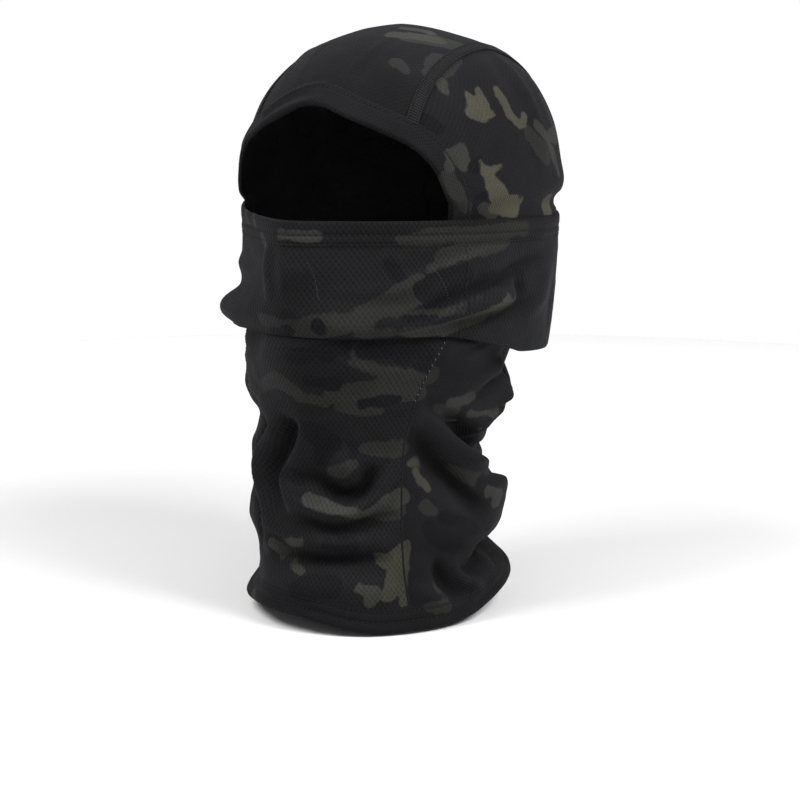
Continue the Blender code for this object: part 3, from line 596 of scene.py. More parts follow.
# -------------------------------------------------------------- camouflage
# Loose blobs of each colour: body part, then points (x, y, z, radius) in mm.
BLOBS = {
    "olive": [
        ("hood", [(69.3, 37.7, 55.8, 5.6), (73.3, 39.8, 44.2, 5.6)]),
        ("hood", [(64.9, -65.3, 21, 2.8), (68.1, -59.6, 13.4, 3.3), (68.2, -51.7, 5.8, 3.3)]),
        ("hood", [(80.9, -2.6, 41.8, 3.3), (83, 11.5, 27.8, 4.4)]),
        ("hood", [(25.3, -33.1, 92.2, 5), (34.8, -23.6, 91, 7.2), (44, -16.4, 87.8, 6.1)]),
        ("hood", [(46.3, -39.6, 80.6, 5), (46.5, -52, 74.6, 3.3)]),
        ("hood", [(31.7, -58.5, 79.8, 2.2), (37.6, -59.9, 75.8, 1.9)]),
        ("hood", [(49.7, -28.9, 81.8, 2.8), (51.9, -43.6, 74.6, 2.2)]),
        ("cover", [(-17.3, -115.1, -52, 2.8), (-6, -117.3, -55, 4.4), (7.4, -116, -56, 5),
                   (25.1, -109.4, -53, 5), (38.1, -101.2, -49.5, 5), (46.4, -92.8, -43, 5),
                   (51.6, -84.9, -37.5, 4.4), (55.8, -77.8, -31.5, 3.1)]),
        ("cover", [(34.5, -101.3, -56, 3.3), (48.5, -89.4, -55.5, 3.3),
                   (60.9, -73.9, -56.5, 2.5), (68.7, -61.4, -56, 2.2)]),
        ("cover", [(42.1, -97.8, -46.5, 4.4), (51.6, -88.6, -43, 5),
                   (56.5, -82.1, -39.5, 3.9)]),
        ("cover", [(50, -91.2, -49, 1.7), (62.3, -76.9, -49, 2.2), (72.4, -60.8, -46.5, 2.5),
                   (77.5, -50.4, -43.5, 1.7)]),
        ("cover", [(-24.2, -105, -65.5, 2.2), (-3.6, -113.6, -61.5, 3.3)]),
        ("cover", [(48.6, -83.9, -10, 2.2), (57.5, -74.2, -9.5, 3.1),
                   (66.5, -61.2, -7.5, 3.1)]),
        ("cover", [(68.2, -58.3, -9.5, 3.3), (74.3, -45.1, -9.5, 3.3), (78.7, -31.8, -9, 3.9),
                   (82.1, -12.5, -9, 3.1)]),
        ("cover", [(63, -67, -21.5, 3.3), (69.4, -56.1, -18, 4.4), (76.8, -38.6, -16, 3.3),
                   (79.7, -27.5, -14, 2.2)]),
        ("cover", [(64.8, -64.3, -22.5, 2.8), (63.4, -67.8, -28.5, 1.7)]),
        ("cover", [(59.6, -72, -25.5, 2.2), (66.6, -61.5, -23, 2.8)]),
        ("neck", [(-29.7, -95.7, -91, 2.2), (-13.6, -105.3, -86, 3.3),
                  (-3.7, -108.2, -89, 3.1), (3.7, -108, -93, 1.9)]),
        ("neck", [(1.8, -108.2, -93, 1.9), (15, -104.2, -95.5, 2.5)]),
        ("neck", [(17.5, -103.2, -93, 3.3), (26.4, -98.1, -90, 3.9), (37.1, -90, -88, 4.4),
                  (46.7, -81, -84, 5.6), (53.9, -72.6, -81.5, 5), (57.6, -67.3, -81, 3.3)]),
        ("neck", [(44.6, -82.5, -91.5, 3.9), (52.6, -72.9, -91, 3.9)]),
        ("neck", [(21.8, -100.5, -97, 2.8), (30.4, -94.5, -99.5, 2.8),
                  (38.3, -87.7, -101.5, 1.4)]),
        ("neck", [(26.6, -98.4, -74, 2.2), (36.2, -91.3, -77.5, 3.3), (45.9, -82.3, -80, 3.9)]),
        ("neck", [(27.6, -97.8, -69, 1.4), (30.2, -95.9, -74, 2.2)]),
        ("neck", [(31.2, -92.1, -121.5, 2.2), (39.6, -84.6, -121.5, 3.9),
                  (45.9, -77.2, -121.5, 3.9)]),
        ("neck", [(15.3, -100.8, -133.5, 1.7), (22.2, -97.7, -132, 3.3),
                  (26.3, -95.3, -129, 2.5)]),
        ("neck", [(34.6, -89.6, -158, 2.2), (44.5, -79.1, -156.5, 2.8)]),
        ("neck", [(58.1, -52.1, -136, 2), (61.1, -39.9, -140, 3.3), (62.8, -27.2, -145, 3)]),
        ("neck", [(57.8, -69.7, -208, 2.2), (62.8, -60.1, -209.5, 2.4)]),
        ("neck", [(57.7, -61.9, -101, 1.7), (62.1, -49.5, -105, 2.4)]),
        ("neck", [(59.7, -60.6, -198.5, 3.3), (63.5, -54.2, -203, 2.2)]),
        ("neck", [(52.9, -65.7, -154.5, 2.2), (55.1, -61.4, -158, 2.2)]),
    ],
    "grey": [
        ("hood", [(65.7, -61.5, 32.6, 2.8), (68.4, -56.3, 34.2, 3.1),
                  (69.9, -55.5, 28.6, 2.8)]),
        ("hood", [(66.2, -60.9, 32.2, 2.2), (65.3, -63.5, 27.8, 1.7)]),
        ("hood", [(72.2, -42.4, 6.2, 2.8), (74.4, -32.6, 1.8, 3.1)]),
        ("hood", [(53.3, -49.9, 69.8, 2.2), (56.2, -51.7, 65.4, 1.7)]),
        ("hood", [(79.8, 6.8, 45, 2.8), (80.8, 15.6, 37.8, 3.6), (81.1, 23.8, 28.6, 3.3),
                  (80.8, 29.2, 19, 2.2)]),
        ("hood", [(80.8, 15.6, 37.8, 2.8), (71.5, 47.4, 39.8, 2.2)]),
        ("hood", [(15, -34.4, 94.2, 3.3), (26.3, -28.4, 93, 3.9), (36.4, -22.2, 90.6, 3.3)]),
        ("hood", [(12.8, -19.3, 97.4, 1.7), (26.5, -15.8, 95, 1.7)]),
        ("cover", [(50.4, -86.4, -57.5, 1.4), (64.1, -69.1, -56.5, 2.8),
                   (70.8, -57.7, -54, 3.9), (76.6, -44.4, -50.5, 5), (79.9, -32.6, -47.5, 5.3),
                   (81, -25.7, -46.5, 3.3)]),
        ("cover", [(-23.5, -104.6, -9, 1.2), (-17.9, -109.4, -14.5, 1.7)]),
        ("cover", [(-47.4, -85.1, 1.5, 0.9), (-42.6, -89.4, -5, 1.1)]),
        ("cover", [(-34.9, -95.6, 0, 0.8), (-32.3, -97.7, -5, 0.8)]),
        ("cover", [(-2.9, -116.9, -7.5, 1.4), (7.2, -115.4, -8, 1.8), (15.1, -110.7, -8, 1.6)]),
        ("neck", [(3.9, -103.2, -149, 2.4), (12.1, -101.7, -150.5, 3.3),
                  (21.7, -98.1, -155, 2.2), (31.7, -91.9, -155.5, 2.2),
                  (39.4, -84.8, -151, 3.3), (45, -77.9, -146.5, 3.9)]),
        ("neck", [(-25.3, -97.1, -178, 1.3), (-16.3, -101.3, -181, 3.3),
                  (-8, -103.5, -184.5, 2.4), (-1.7, -104.4, -189, 0.8)]),
        ("neck", [(-12.9, -102.1, -175.5, 1), (-0.6, -103.8, -172.5, 0.6)]),
        ("neck", [(30.5, -95.6, -196, 2.4), (37.1, -91.5, -199, 3.9),
                  (35.7, -93.7, -203, 2.4)]),
        ("neck", [(-55.4, -71.4, -75, 1.3), (-53.2, -73, -85.5, 1.4),
                  (-50.8, -74.4, -96.5, 0.9)]),
        ("neck", [(61.4, -54.8, -98.5, 1.4), (64.6, -45.6, -98.5, 2.4), (67, -36, -98, 1.4)]),
        ("neck", [(64.7, -37.5, -107.5, 1.4), (65.9, -24.4, -109, 1.4),
                  (64.5, -7.6, -111.5, 2.4)]),
        ("neck", [(63.3, -16.4, -154, 2), (61.2, -0.8, -159.5, 3.1),
                  (63.1, -9.1, -163.5, 2.4)]),
        ("neck", [(65.7, -2, -100.5, 2.4), (59.1, 10.5, -108.5, 2)]),
    ],
    "tan": [
        ("cover", [(74.7, -49.2, -52, 2.2), (78.6, -39.3, -48, 3.6), (80.4, -30, -47, 3.3)]),
        ("neck", [(47.6, -76.4, -174, 1.7), (45.6, -79.7, -180, 3.9), (41.5, -84.6, -182.5, 3),
                  (36.8, -89, -179, 0.9)]),
        ("neck", [(45.2, -80.9, -187.5, 5.3), (44.3, -83.4, -194.5, 5.3),
                  (42.1, -87.3, -200, 3.3)]),
        ("neck", [(49.1, -80.8, -203.5, 1.9)]),
        ("neck", [(-42.5, -89.4, -209, 0.9), (-37.1, -94.5, -214, 0.9)]),
        ("neck", [(48.2, -73.2, -130.5, 1.7), (51, -68.7, -130, 2.8),
                  (53.3, -64.1, -134.5, 1.7)]),
        ("neck", [(50.1, -70, -134.5, 2), (51.6, -67.2, -140, 1.4), (53.5, -63.7, -145, 0.2)]),
        ("neck", [(63.6, -30, -123.5, 1.9), (64.3, -24.4, -121, 2.4)]),
    ],
    "khaki": [
        ("hood", [(66.6, -40.6, 58.6, 3.3), (69.1, -35.8, 57.4, 3.9)]),
        ("hood", [(67.6, -44.8, 53.4, 2.5), (70.2, -39, 53, 3.3)]),
        ("hood", [(67.8, -35.1, 60.2, 1.9), (65, -32.1, 65.8, 0.7)]),
        ("hood", [(70.9, -35.9, 53.8, 2.5), (73.3, -29.9, 52.6, 0.8)]),
        ("hood", [(65.6, -40.8, 60.2, 2.2), (63.1, -41, 63.8, 0.7)]),
        ("hood", [(68.9, -17.9, 65.4, 1.7), (71.1, -18.4, 61.8, 2.8), (73.9, -17.5, 57, 2.8),
                  (75.5, -17.9, 53.4, 2)]),
        ("hood", [(75.5, -17.1, 53.8, 1.9), (77.3, -14.9, 50.2, 1.7),
                  (78.7, -10.9, 47.4, 1.4)]),
        ("hood", [(78.7, -10.9, 47.4, 1.4), (79.1, -5.1, 47.4, 1.3), (78.1, -1.7, 50.6, 0.7)]),
        ("hood", [(76.5, -42.5, 22.6, 3.3), (77.3, -41, 18.6, 3.3)]),
        ("hood", [(75.7, -44.1, 24.2, 2.2), (74.3, -46.2, 28.6, 0.8)]),
        ("hood", [(77.5, -39.2, 24.2, 2.2), (79, -33.2, 27, 0.8)]),
        ("hood", [(77.4, -41.1, 17.4, 3.3), (77.9, -36.8, 13, 4.4), (77.2, -27.8, 7.4, 5.6),
                  (77.5, -19.1, 4.2, 5.6)]),
        ("hood", [(75, -33.5, 5.8, 3.3), (76.1, -26.7, 4.2, 3.9)]),
        ("hood", [(77.9, -30.5, 9.8, 2.8), (79.6, -14.9, 7.8, 2.8)]),
        ("hood", [(77.4, 18.2, 4.2, 6.1), (76.5, 20.3, -2.2, 6.7)]),
    ],
    "dark": [
        ("hood", [(83.1, 17.9, 17.8, 1.3), (79.2, 29.1, 11.8, 1.1)]),
        ("hood", [(72.9, -50.3, 25.8, 2.2), (73.8, -46.9, 29.8, 1.7)]),
        ("hood", [(72.4, -48.6, 11, 2.2), (75.1, -43.2, 11.8, 2.2)]),
        ("hood", [(54.2, -68.6, 50.6, 3.3), (59.5, -64.3, 46.6, 2.8)]),
        ("cover", [(-9.5, -113.6, -59.5, 3.1), (0.7, -116.5, -57, 3.1)]),
        ("cover", [(17, -113.1, -54.5, 3)]),
        ("cover", [(43.9, -96, -51.5, 1.4), (53.3, -87.3, -50.5, 1.8),
                   (64.1, -72.9, -50.5, 1.3)]),
        ("cover", [(59.3, -77.3, -36.5, 5), (65.8, -66.9, -32.5, 6.7), (70.3, -57.2, -28, 5)]),
        ("cover", [(62.8, -78.2, -44, 1.7), (70.4, -67.2, -40, 3.9)]),
        ("cover", [(82, -36.6, -34, 2.8), (82.2, -14.3, -32, 2.2)]),
        ("cover", [(44.5, -88, -21.5, 2.8), (48.7, -84.4, -28.5, 2.2)]),
        ("neck", [(-21.9, -101.3, -71, 3.3), (2.6, -108.8, -70, 4.4), (17.7, -103.7, -67.5, 5),
                  (23.5, -100.4, -65.5, 3.9)]),
        ("neck", [(31.9, -94.8, -68.5, 2.8), (41.2, -87.4, -68, 3.9),
                  (52.8, -75.4, -69.5, 4.4), (58.4, -67.5, -72.5, 3.3)]),
        ("neck", [(46.8, -81.7, -73.5, 2.8), (55.8, -70.5, -77.5, 2.8)]),
        ("neck", [(7.5, -107.5, -83, 2.8), (19.1, -102.6, -85.5, 3.1)]),
        ("neck", [(31.3, -94.2, -96.5, 1.2), (38.7, -88, -95.5, 1.7), (45.4, -81.2, -95, 1.1)]),
        ("neck", [(2.9, -105.6, -110, 5), (15.6, -101.4, -118.5, 5),
                  (9.4, -102.8, -128.5, 3.3)]),
        ("neck", [(-1.2, -105.6, -199, 5.6), (18.4, -101.5, -194.5, 5)]),
        ("neck", [(-12.6, -101.6, -135.5, 3.3), (-1.6, -103.5, -139, 2.8)]),
        ("neck", [(15.6, -101.2, -174.5, 4.4), (26.2, -96.3, -172.5, 3.9)]),
        ("neck", [(55.1, -62.4, -118.5, 3.3), (58.9, -51.8, -124.5, 2.8)]),
        ("neck", [(54.7, -63.5, -168, 5), (61.4, -47.2, -179, 5)]),
        ("neck", [(58.4, -53.8, -164, 4.4), (63.4, -34.5, -172, 3.9)]),
    ],
}


def blob_field(P, part, kind):
    """Signed distance in mm to the nearest blob of a colour, plus inside."""
    best = np.full(P.shape[:-1], -60.0)
    for where, pts in BLOBS[kind]:
        if where != part:
            continue
        q = np.array(pts, float)
        if len(q) == 1:
            q = np.vstack([q, q + [0.01, 0, 0, 0]])
        for a, b in zip(q[:-1], q[1:]):
            d = b[:3] - a[:3]
            L = max(float(d @ d), 1e-9)
            t = np.clip(((P - a[:3]) @ d) / L, 0, 1)
            dist = np.linalg.norm(P - a[:3] - t[..., None] * d, axis=-1)
            best = np.maximum(best, a[3] + (b[3] - a[3]) * t - dist)
    return best


# ------------------------------------------------------------------ meshes
def add_mesh(name, verts, faces, attrs, material, second=None, face_mat=None):
    mesh = bpy.data.meshes.new(name)
    verts = np.asarray(verts, np.float32) * MM
    mesh.vertices.add(len(verts))
    mesh.vertices.foreach_set("co", verts.ravel())
    quads = np.asarray(faces["quads"], np.int32).reshape(-1, 4)
    tris = np.asarray(faces.get("tris", []), np.int32).reshape(-1, 3)
    loops = np.concatenate([quads.ravel(), tris.ravel()])
    mesh.loops.add(len(loops))
    mesh.loops.foreach_set("vertex_index", loops)
    n = len(quads) + len(tris)
    mesh.polygons.add(n)
    start = np.concatenate([np.arange(len(quads)) * 4,
                            len(quads) * 4 + np.arange(len(tris)) * 3]).astype(np.int32)
    mesh.polygons.foreach_set("loop_start", start)
    if face_mat is not None:
        mesh.polygons.foreach_set("material_index", np.asarray(face_mat, np.int32))
    mesh.update(calc_edges=True)
    mesh.validate()
    for key, value in attrs.items():
        value = np.asarray(value, np.float32)
        kind = "FLOAT_VECTOR" if value.ndim == 2 else "FLOAT"
        at = mesh.attributes.new(key, kind, "POINT")
        at.data.foreach_set("vector" if value.ndim == 2 else "value", value.ravel())
    mesh.shade_smooth()
    mesh.materials.append(material)
    if second is not None:
        mesh.materials.append(second)
    ob = bpy.data.objects.new(name, mesh)
    bpy.context.scene.collection.objects.link(ob)
    return ob


def grid_normals(P, closed, outward):
    du = (np.roll(P, -1, 0) - np.roll(P, 1, 0)) if closed else np.gradient(P, axis=0)
    n = unit(np.cross(du, np.gradient(P, axis=1)))
    if np.sum(n * outward) < 0:
        n = -n
    return n


def cloth(name, P, fab, part, material, thickness=1.0, closed=False, round_lo=True,
          round_hi=True, outward=None, shade=None):
    """A closed shell on grid P (outer face) with rounded rims and attributes."""
    nu, nv = P.shape[:2]
    if outward is None:
        outward = P - np.array([0.0, -8.0, -20.0])
    N = grid_normals(P, closed, outward)
    inner = P - N * thickness
    mid = (P + inner) / 2
    lo = mid[:, 0] + unit(P[:, 0] - P[:, 1]) * thickness * 0.45
    hi = mid[:, -1] + unit(P[:, -1] - P[:, -2]) * thickness * 0.45
    rows = [P[:, k] for k in range(nv)] + [hi] + [inner[:, k] for k in range(nv - 1, -1, -1)] + [lo]
    V = np.stack(rows, 1)
    m = V.shape[1]
    idx = np.arange(nu * m).reshape(nu, m)
    a = idx if closed else idx[:-1]
    b = np.roll(idx, -1, 0) if closed else idx[1:]
    quads = np.stack([a, b, np.roll(b, -1, 1), np.roll(a, -1, 1)], -1).reshape(-1, 4)
    extra = []
    tris = []
    if not closed:
        for u, flip in ((0, True), (nu - 1, False)):
            o = idx[u, :nv]
            i_ = idx[u, nv + 1:2 * nv + 1][::-1]
            q = np.stack([o[:-1], o[1:], i_[1:], i_[:-1]], -1)
            t = np.array([[o[-1], idx[u, nv], i_[-1]], [i_[0], idx[u, m - 1], o[0]]])
            extra.append(q[:, ::-1] if flip else q)
            tris.append(t[:, ::-1] if flip else t)
    if extra:
        quads = np.concatenate([quads] + extra)
        tris = np.concatenate(tris)
    else:
        tris = np.zeros((0, 3), int)
    flat = V.reshape(-1, 3)
    q = flat[quads]
    volume = np.sum(np.cross(q[:, 1] - q[:, 0], q[:, 2] - q[:, 0]) * q[:, 0]
                    + np.cross(q[:, 2] - q[:, 0], q[:, 3] - q[:, 0]) * q[:, 0])
    if volume < 0:
        quads, tris = quads[:, ::-1], tris[:, ::-1]
    def spread(A):
        cols = [A[:, k] for k in range(nv)] + [A[:, -1]]
        cols += [A[:, k] for k in range(nv - 1, -1, -1)] + [A[:, 0]]
        A = np.stack(cols, 1)
        return A.reshape(-1, *A.shape[2:])
    attrs = {"fab": spread(np.concatenate([fab, 0 * fab[..., :1]], -1)) * MM,
             "rest": flat * MM}
    for kind in BLOBS:
        attrs[kind] = np.clip(spread(blob_field(P, part, kind)), -60, 30)
    inside = np.zeros((nu, m))
    inside[:, nv + 1:2 * nv + 1] = 1.0
    attrs["inner"] = inside.ravel()
    attrs["placed"] = spread(placed(P, part))
    if shade is not None:
        attrs["shade"] = spread(shade)
    else:
        attrs["shade"] = np.zeros(len(flat))
    return add_mesh(name, flat, {"quads": quads, "tris": tris}, attrs, material)


def placed(P, part):
    """1 where the listed blobs are used, 0 where a pattern is grown instead."""
    theta = np.degrees(np.arctan2(P[..., 0], -(P[..., 1] + 12)))
    if part == "hood":
        side = step(theta, -60, -45) * (1 - step(theta, 128, 140))
        top = step(P[..., 2], 70, 85) * (1 - step(P[..., 1], 20, 45)) * step(P[..., 0], -60, -45)
        return np.maximum(side, top)
    return step(theta, -62, -48) * (1 - step(theta, 116, 128))


def capsules(name, C, D, N, length, radius, material, flat=0.7, sides=6, waist=None):
    """Many small rounded threads: centres, directions and normals."""
    D, N = unit(D), unit(N)
    B = unit(np.cross(N, D))
    N = np.cross(D, B)
    ring = np.array([-0.5, -0.44, -0.3, 0.3, 0.44, 0.5])
    rad = np.array([0.25, 0.75, 1.0, 1.0, 0.75, 0.25])
    length = np.broadcast_to(length, len(C))
    ang = np.linspace(0, 2 * math.pi, sides, endpoint=False)
    V = (C[:, None, None] + D[:, None, None] * (ring[None, :, None, None]
         * length[:, None, None, None])
         + radius * rad[None, :, None, None] * (B[:, None, None] * np.cos(ang)[None, None, :, None]
         + N[:, None, None] * flat * np.sin(ang)[None, None, :, None]))
    n, r = len(C), len(ring)
    idx = np.arange(n * r * sides).reshape(n, r, sides)
    a, b = idx[:, :-1], idx[:, 1:]
    quads = np.stack([a, np.roll(a, -1, 2), np.roll(b, -1, 2), b], -1).reshape(-1, 4)
    ends = []
    for k in (0, r - 1):
        e = idx[:, k]
        t = np.stack([e[:, [0] * (sides - 2)], e[:, 1:-1], e[:, 2:]], -1).reshape(-1, 3)
        ends.append(t[:, ::-1] if k == 0 else t)
    along = np.broadcast_to(ring[None, :, None] * length[:, None, None], (n, r, sides))
    around = np.broadcast_to(ang[None, None, :], (n, r, sides))
    fab = np.stack([along, around * radius, 0 * along], -1).reshape(-1, 3) * MM
    return V.reshape(-1, 3), quads, np.concatenate(ends), fab


def thread_piece(name, parts, material, second=None):
    """Joins lists of (verts, quads, tris, fab[, material index]) into one mesh."""
    V, Q, T, F, M1, M2 = [], [], [], [], [], []
    k = 0
    for part in parts:
        v, q, t, f = part[:4]
        m = part[4] if len(part) > 4 else 0
        V.append(v); Q.append(q + k); T.append(t + k); F.append(f)
        M1.append(np.full(len(q), m)); M2.append(np.full(len(t), m))
        k += len(v)
    V = np.concatenate(V)
    face_mat = np.concatenate(M1 + M2)
    return add_mesh(name, V, {"quads": np.concatenate(Q), "tris": np.concatenate(T)},
                    {"fab": np.concatenate(F), "rest": V * MM}, material, second, face_mat)


def ribbon(P, N, across, width, height, closed=False, arch=5):
    """A low band with rounded long edges along a line: verts, quads, tris, fab."""
    w = np.linspace(-1, 1, arch)
    prof = [(wi * width / 2, height * (1 - abs(wi) ** 4 * 0.75)) for wi in w]
    prof += [(wi * width / 2 * 0.98, -0.5) for wi in w[::-1]]
    rows = [P + across * a + N * b for a, b in prof]
    V = np.stack(rows, 1)
    nu, m = V.shape[:2]
    idx = np.arange(nu * m).reshape(nu, m)
    a = idx if closed else idx[:-1]
    b = np.roll(idx, -1, 0) if closed else idx[1:]
    quads = np.stack([a, b, np.roll(b, -1, 1), np.roll(a, -1, 1)], -1).reshape(-1, 4)
    tris = np.zeros((0, 3), int)
    if not closed:
        q = []
        for u, flip in ((0, True), (nu - 1, False)):
            e = idx[u]
            for k in range(arch - 1):
                f = [e[k], e[k + 1], e[2 * arch - 2 - k], e[2 * arch - 1 - k]]
                q.append(f[::-1] if flip else f)
        quads = np.concatenate([quads, np.array(q)])
    flat = V.reshape(-1, 3)
    q = flat[quads]
    volume = np.sum(np.cross(q[:, 1] - q[:, 0], q[:, 2] - q[:, 0]) * q[:, 0]
                    + np.cross(q[:, 2] - q[:, 0], q[:, 3] - q[:, 0]) * q[:, 0])
    if volume < 0:
        quads = quads[:, ::-1]
    s = np.concatenate([[0], np.cumsum(np.linalg.norm(np.diff(P, axis=0), axis=1))])
    fab = np.stack([np.repeat(s[:, None], m, 1), np.tile([p[0] for p in prof], (nu, 1)),
                    np.zeros((nu, m))], -1).reshape(-1, 3) * MM
    return flat, quads, tris, fab


def along_line(P, pitch, closed=False):
    """Stations every pitch mm along a polyline: positions as fractions."""
    Q = np.vstack([P, P[:1]]) if closed else P
    s = np.concatenate([[0], np.cumsum(np.linalg.norm(np.diff(Q, axis=0), axis=1))])
    n = int(s[-1] / pitch)
    t = (np.arange(n) + 0.5) / n * s[-1]
    return t, s, Q


def stitches(P, N, pitch, length, radius, closed=False, flat=0.7, turn=0.0):
    """Capsules laid along a line with normals: verts, quads, tris, fab."""
    t, s, Q = along_line(P, pitch, closed)
    M = np.vstack([N, N[:1]]) if closed else N
    c = np.stack([np.interp(t, s, Q[:, k]) for k in range(3)], -1)
    f = np.stack([np.interp(t + 0.3, s, Q[:, k]) for k in range(3)], -1)
    g = np.stack([np.interp(t - 0.3, s, Q[:, k]) for k in range(3)], -1)
    n = unit(np.stack([np.interp(t, s, M[:, k]) for k in range(3)], -1))
    d = unit(f - g)
    if turn:
        b = np.cross(n, d)
        a = math.radians(turn)
        d = d * math.cos(a) + b * math.sin(a)
    return capsules("", c, d, n, length, radius, None, flat)


# -------------------------------------------------------------- materials
class Graph:
    """Short hand for building a node tree."""

    def __init__(self, name):
        self.mat = bpy.data.materials.new(name)
        self.mat.use_nodes = True
        self.t = self.mat.node_tree
        self.bsdf = self.t.nodes["Principled BSDF"]
        self.out = self.t.nodes["Material Output"]

    def node(self, kind, **props):
        n = self.t.nodes.new(kind)
        for k, v in props.items():
            setattr(n, k, v)
        return n

    def put(self, socket, value):
        if isinstance(value, bpy.types.NodeSocket):
            self.t.links.new(value, socket)
        else:
            socket.default_value = value

    def attr(self, name, out="Fac"):
        n = self.node("ShaderNodeAttribute", attribute_name=name)
        return n.outputs[out]

    def math(self, op, a, b=0.0, c=0.0, clamp=False):
        n = self.node("ShaderNodeMath", operation=op, use_clamp=clamp)
        for i, v in enumerate((a, b, c)):
            self.put(n.inputs[i], v)
        return n.outputs[0]

    def ramp(self, x, a, b, lo=0.0, hi=1.0):
        n = self.node("ShaderNodeMapRange", interpolation_type="SMOOTHSTEP")
        for i, v in enumerate((x, a, b, lo, hi)):
            self.put(n.inputs[i], v)
        return n.outputs[0]

    def mix(self, f, a, b, blend="MIX"):
        n = self.node("ShaderNodeMix", data_type="RGBA", blend_type=blend)
        self.put(n.inputs[0], f)
        self.put(n.inputs[6], (*a, 1.0) if isinstance(a, tuple) else a)
        self.put(n.inputs[7], (*b, 1.0) if isinstance(b, tuple) else b)
        return n.outputs[2]

    def noise(self, vec, scale, detail=2.0, rough=0.5):
        n = self.node("ShaderNodeTexNoise")
        self.put(n.inputs["Vector"], vec)
        n.inputs["Scale"].default_value = scale
        n.inputs["Detail"].default_value = detail
        n.inputs["Roughness"].default_value = rough
        return n.outputs["Fac"]

    def split(self, vec):
        n = self.node("ShaderNodeSeparateXYZ")
        self.put(n.inputs[0], vec)
        return n.outputs

    def shift(self, vec, by, scale=(1.0, 1.0, 1.0)):
        n = self.node("ShaderNodeMapping")
        self.put(n.inputs["Vector"], vec)
        n.inputs["Location"].default_value = by
        n.inputs["Scale"].default_value = scale
        return n.outputs[0]


BASE = (0.0050, 0.0050, 0.0056)
DARK = (0.0033, 0.0032, 0.0041)
OLIVE = (0.0118, 0.0120, 0.0112)
GREY = (0.0185, 0.0188, 0.0165)
TAN = (0.0225, 0.0226, 0.0170)
KHAKI = (0.0350, 0.0328, 0.0238)
INSIDE = (0.0420, 0.0420, 0.0440)


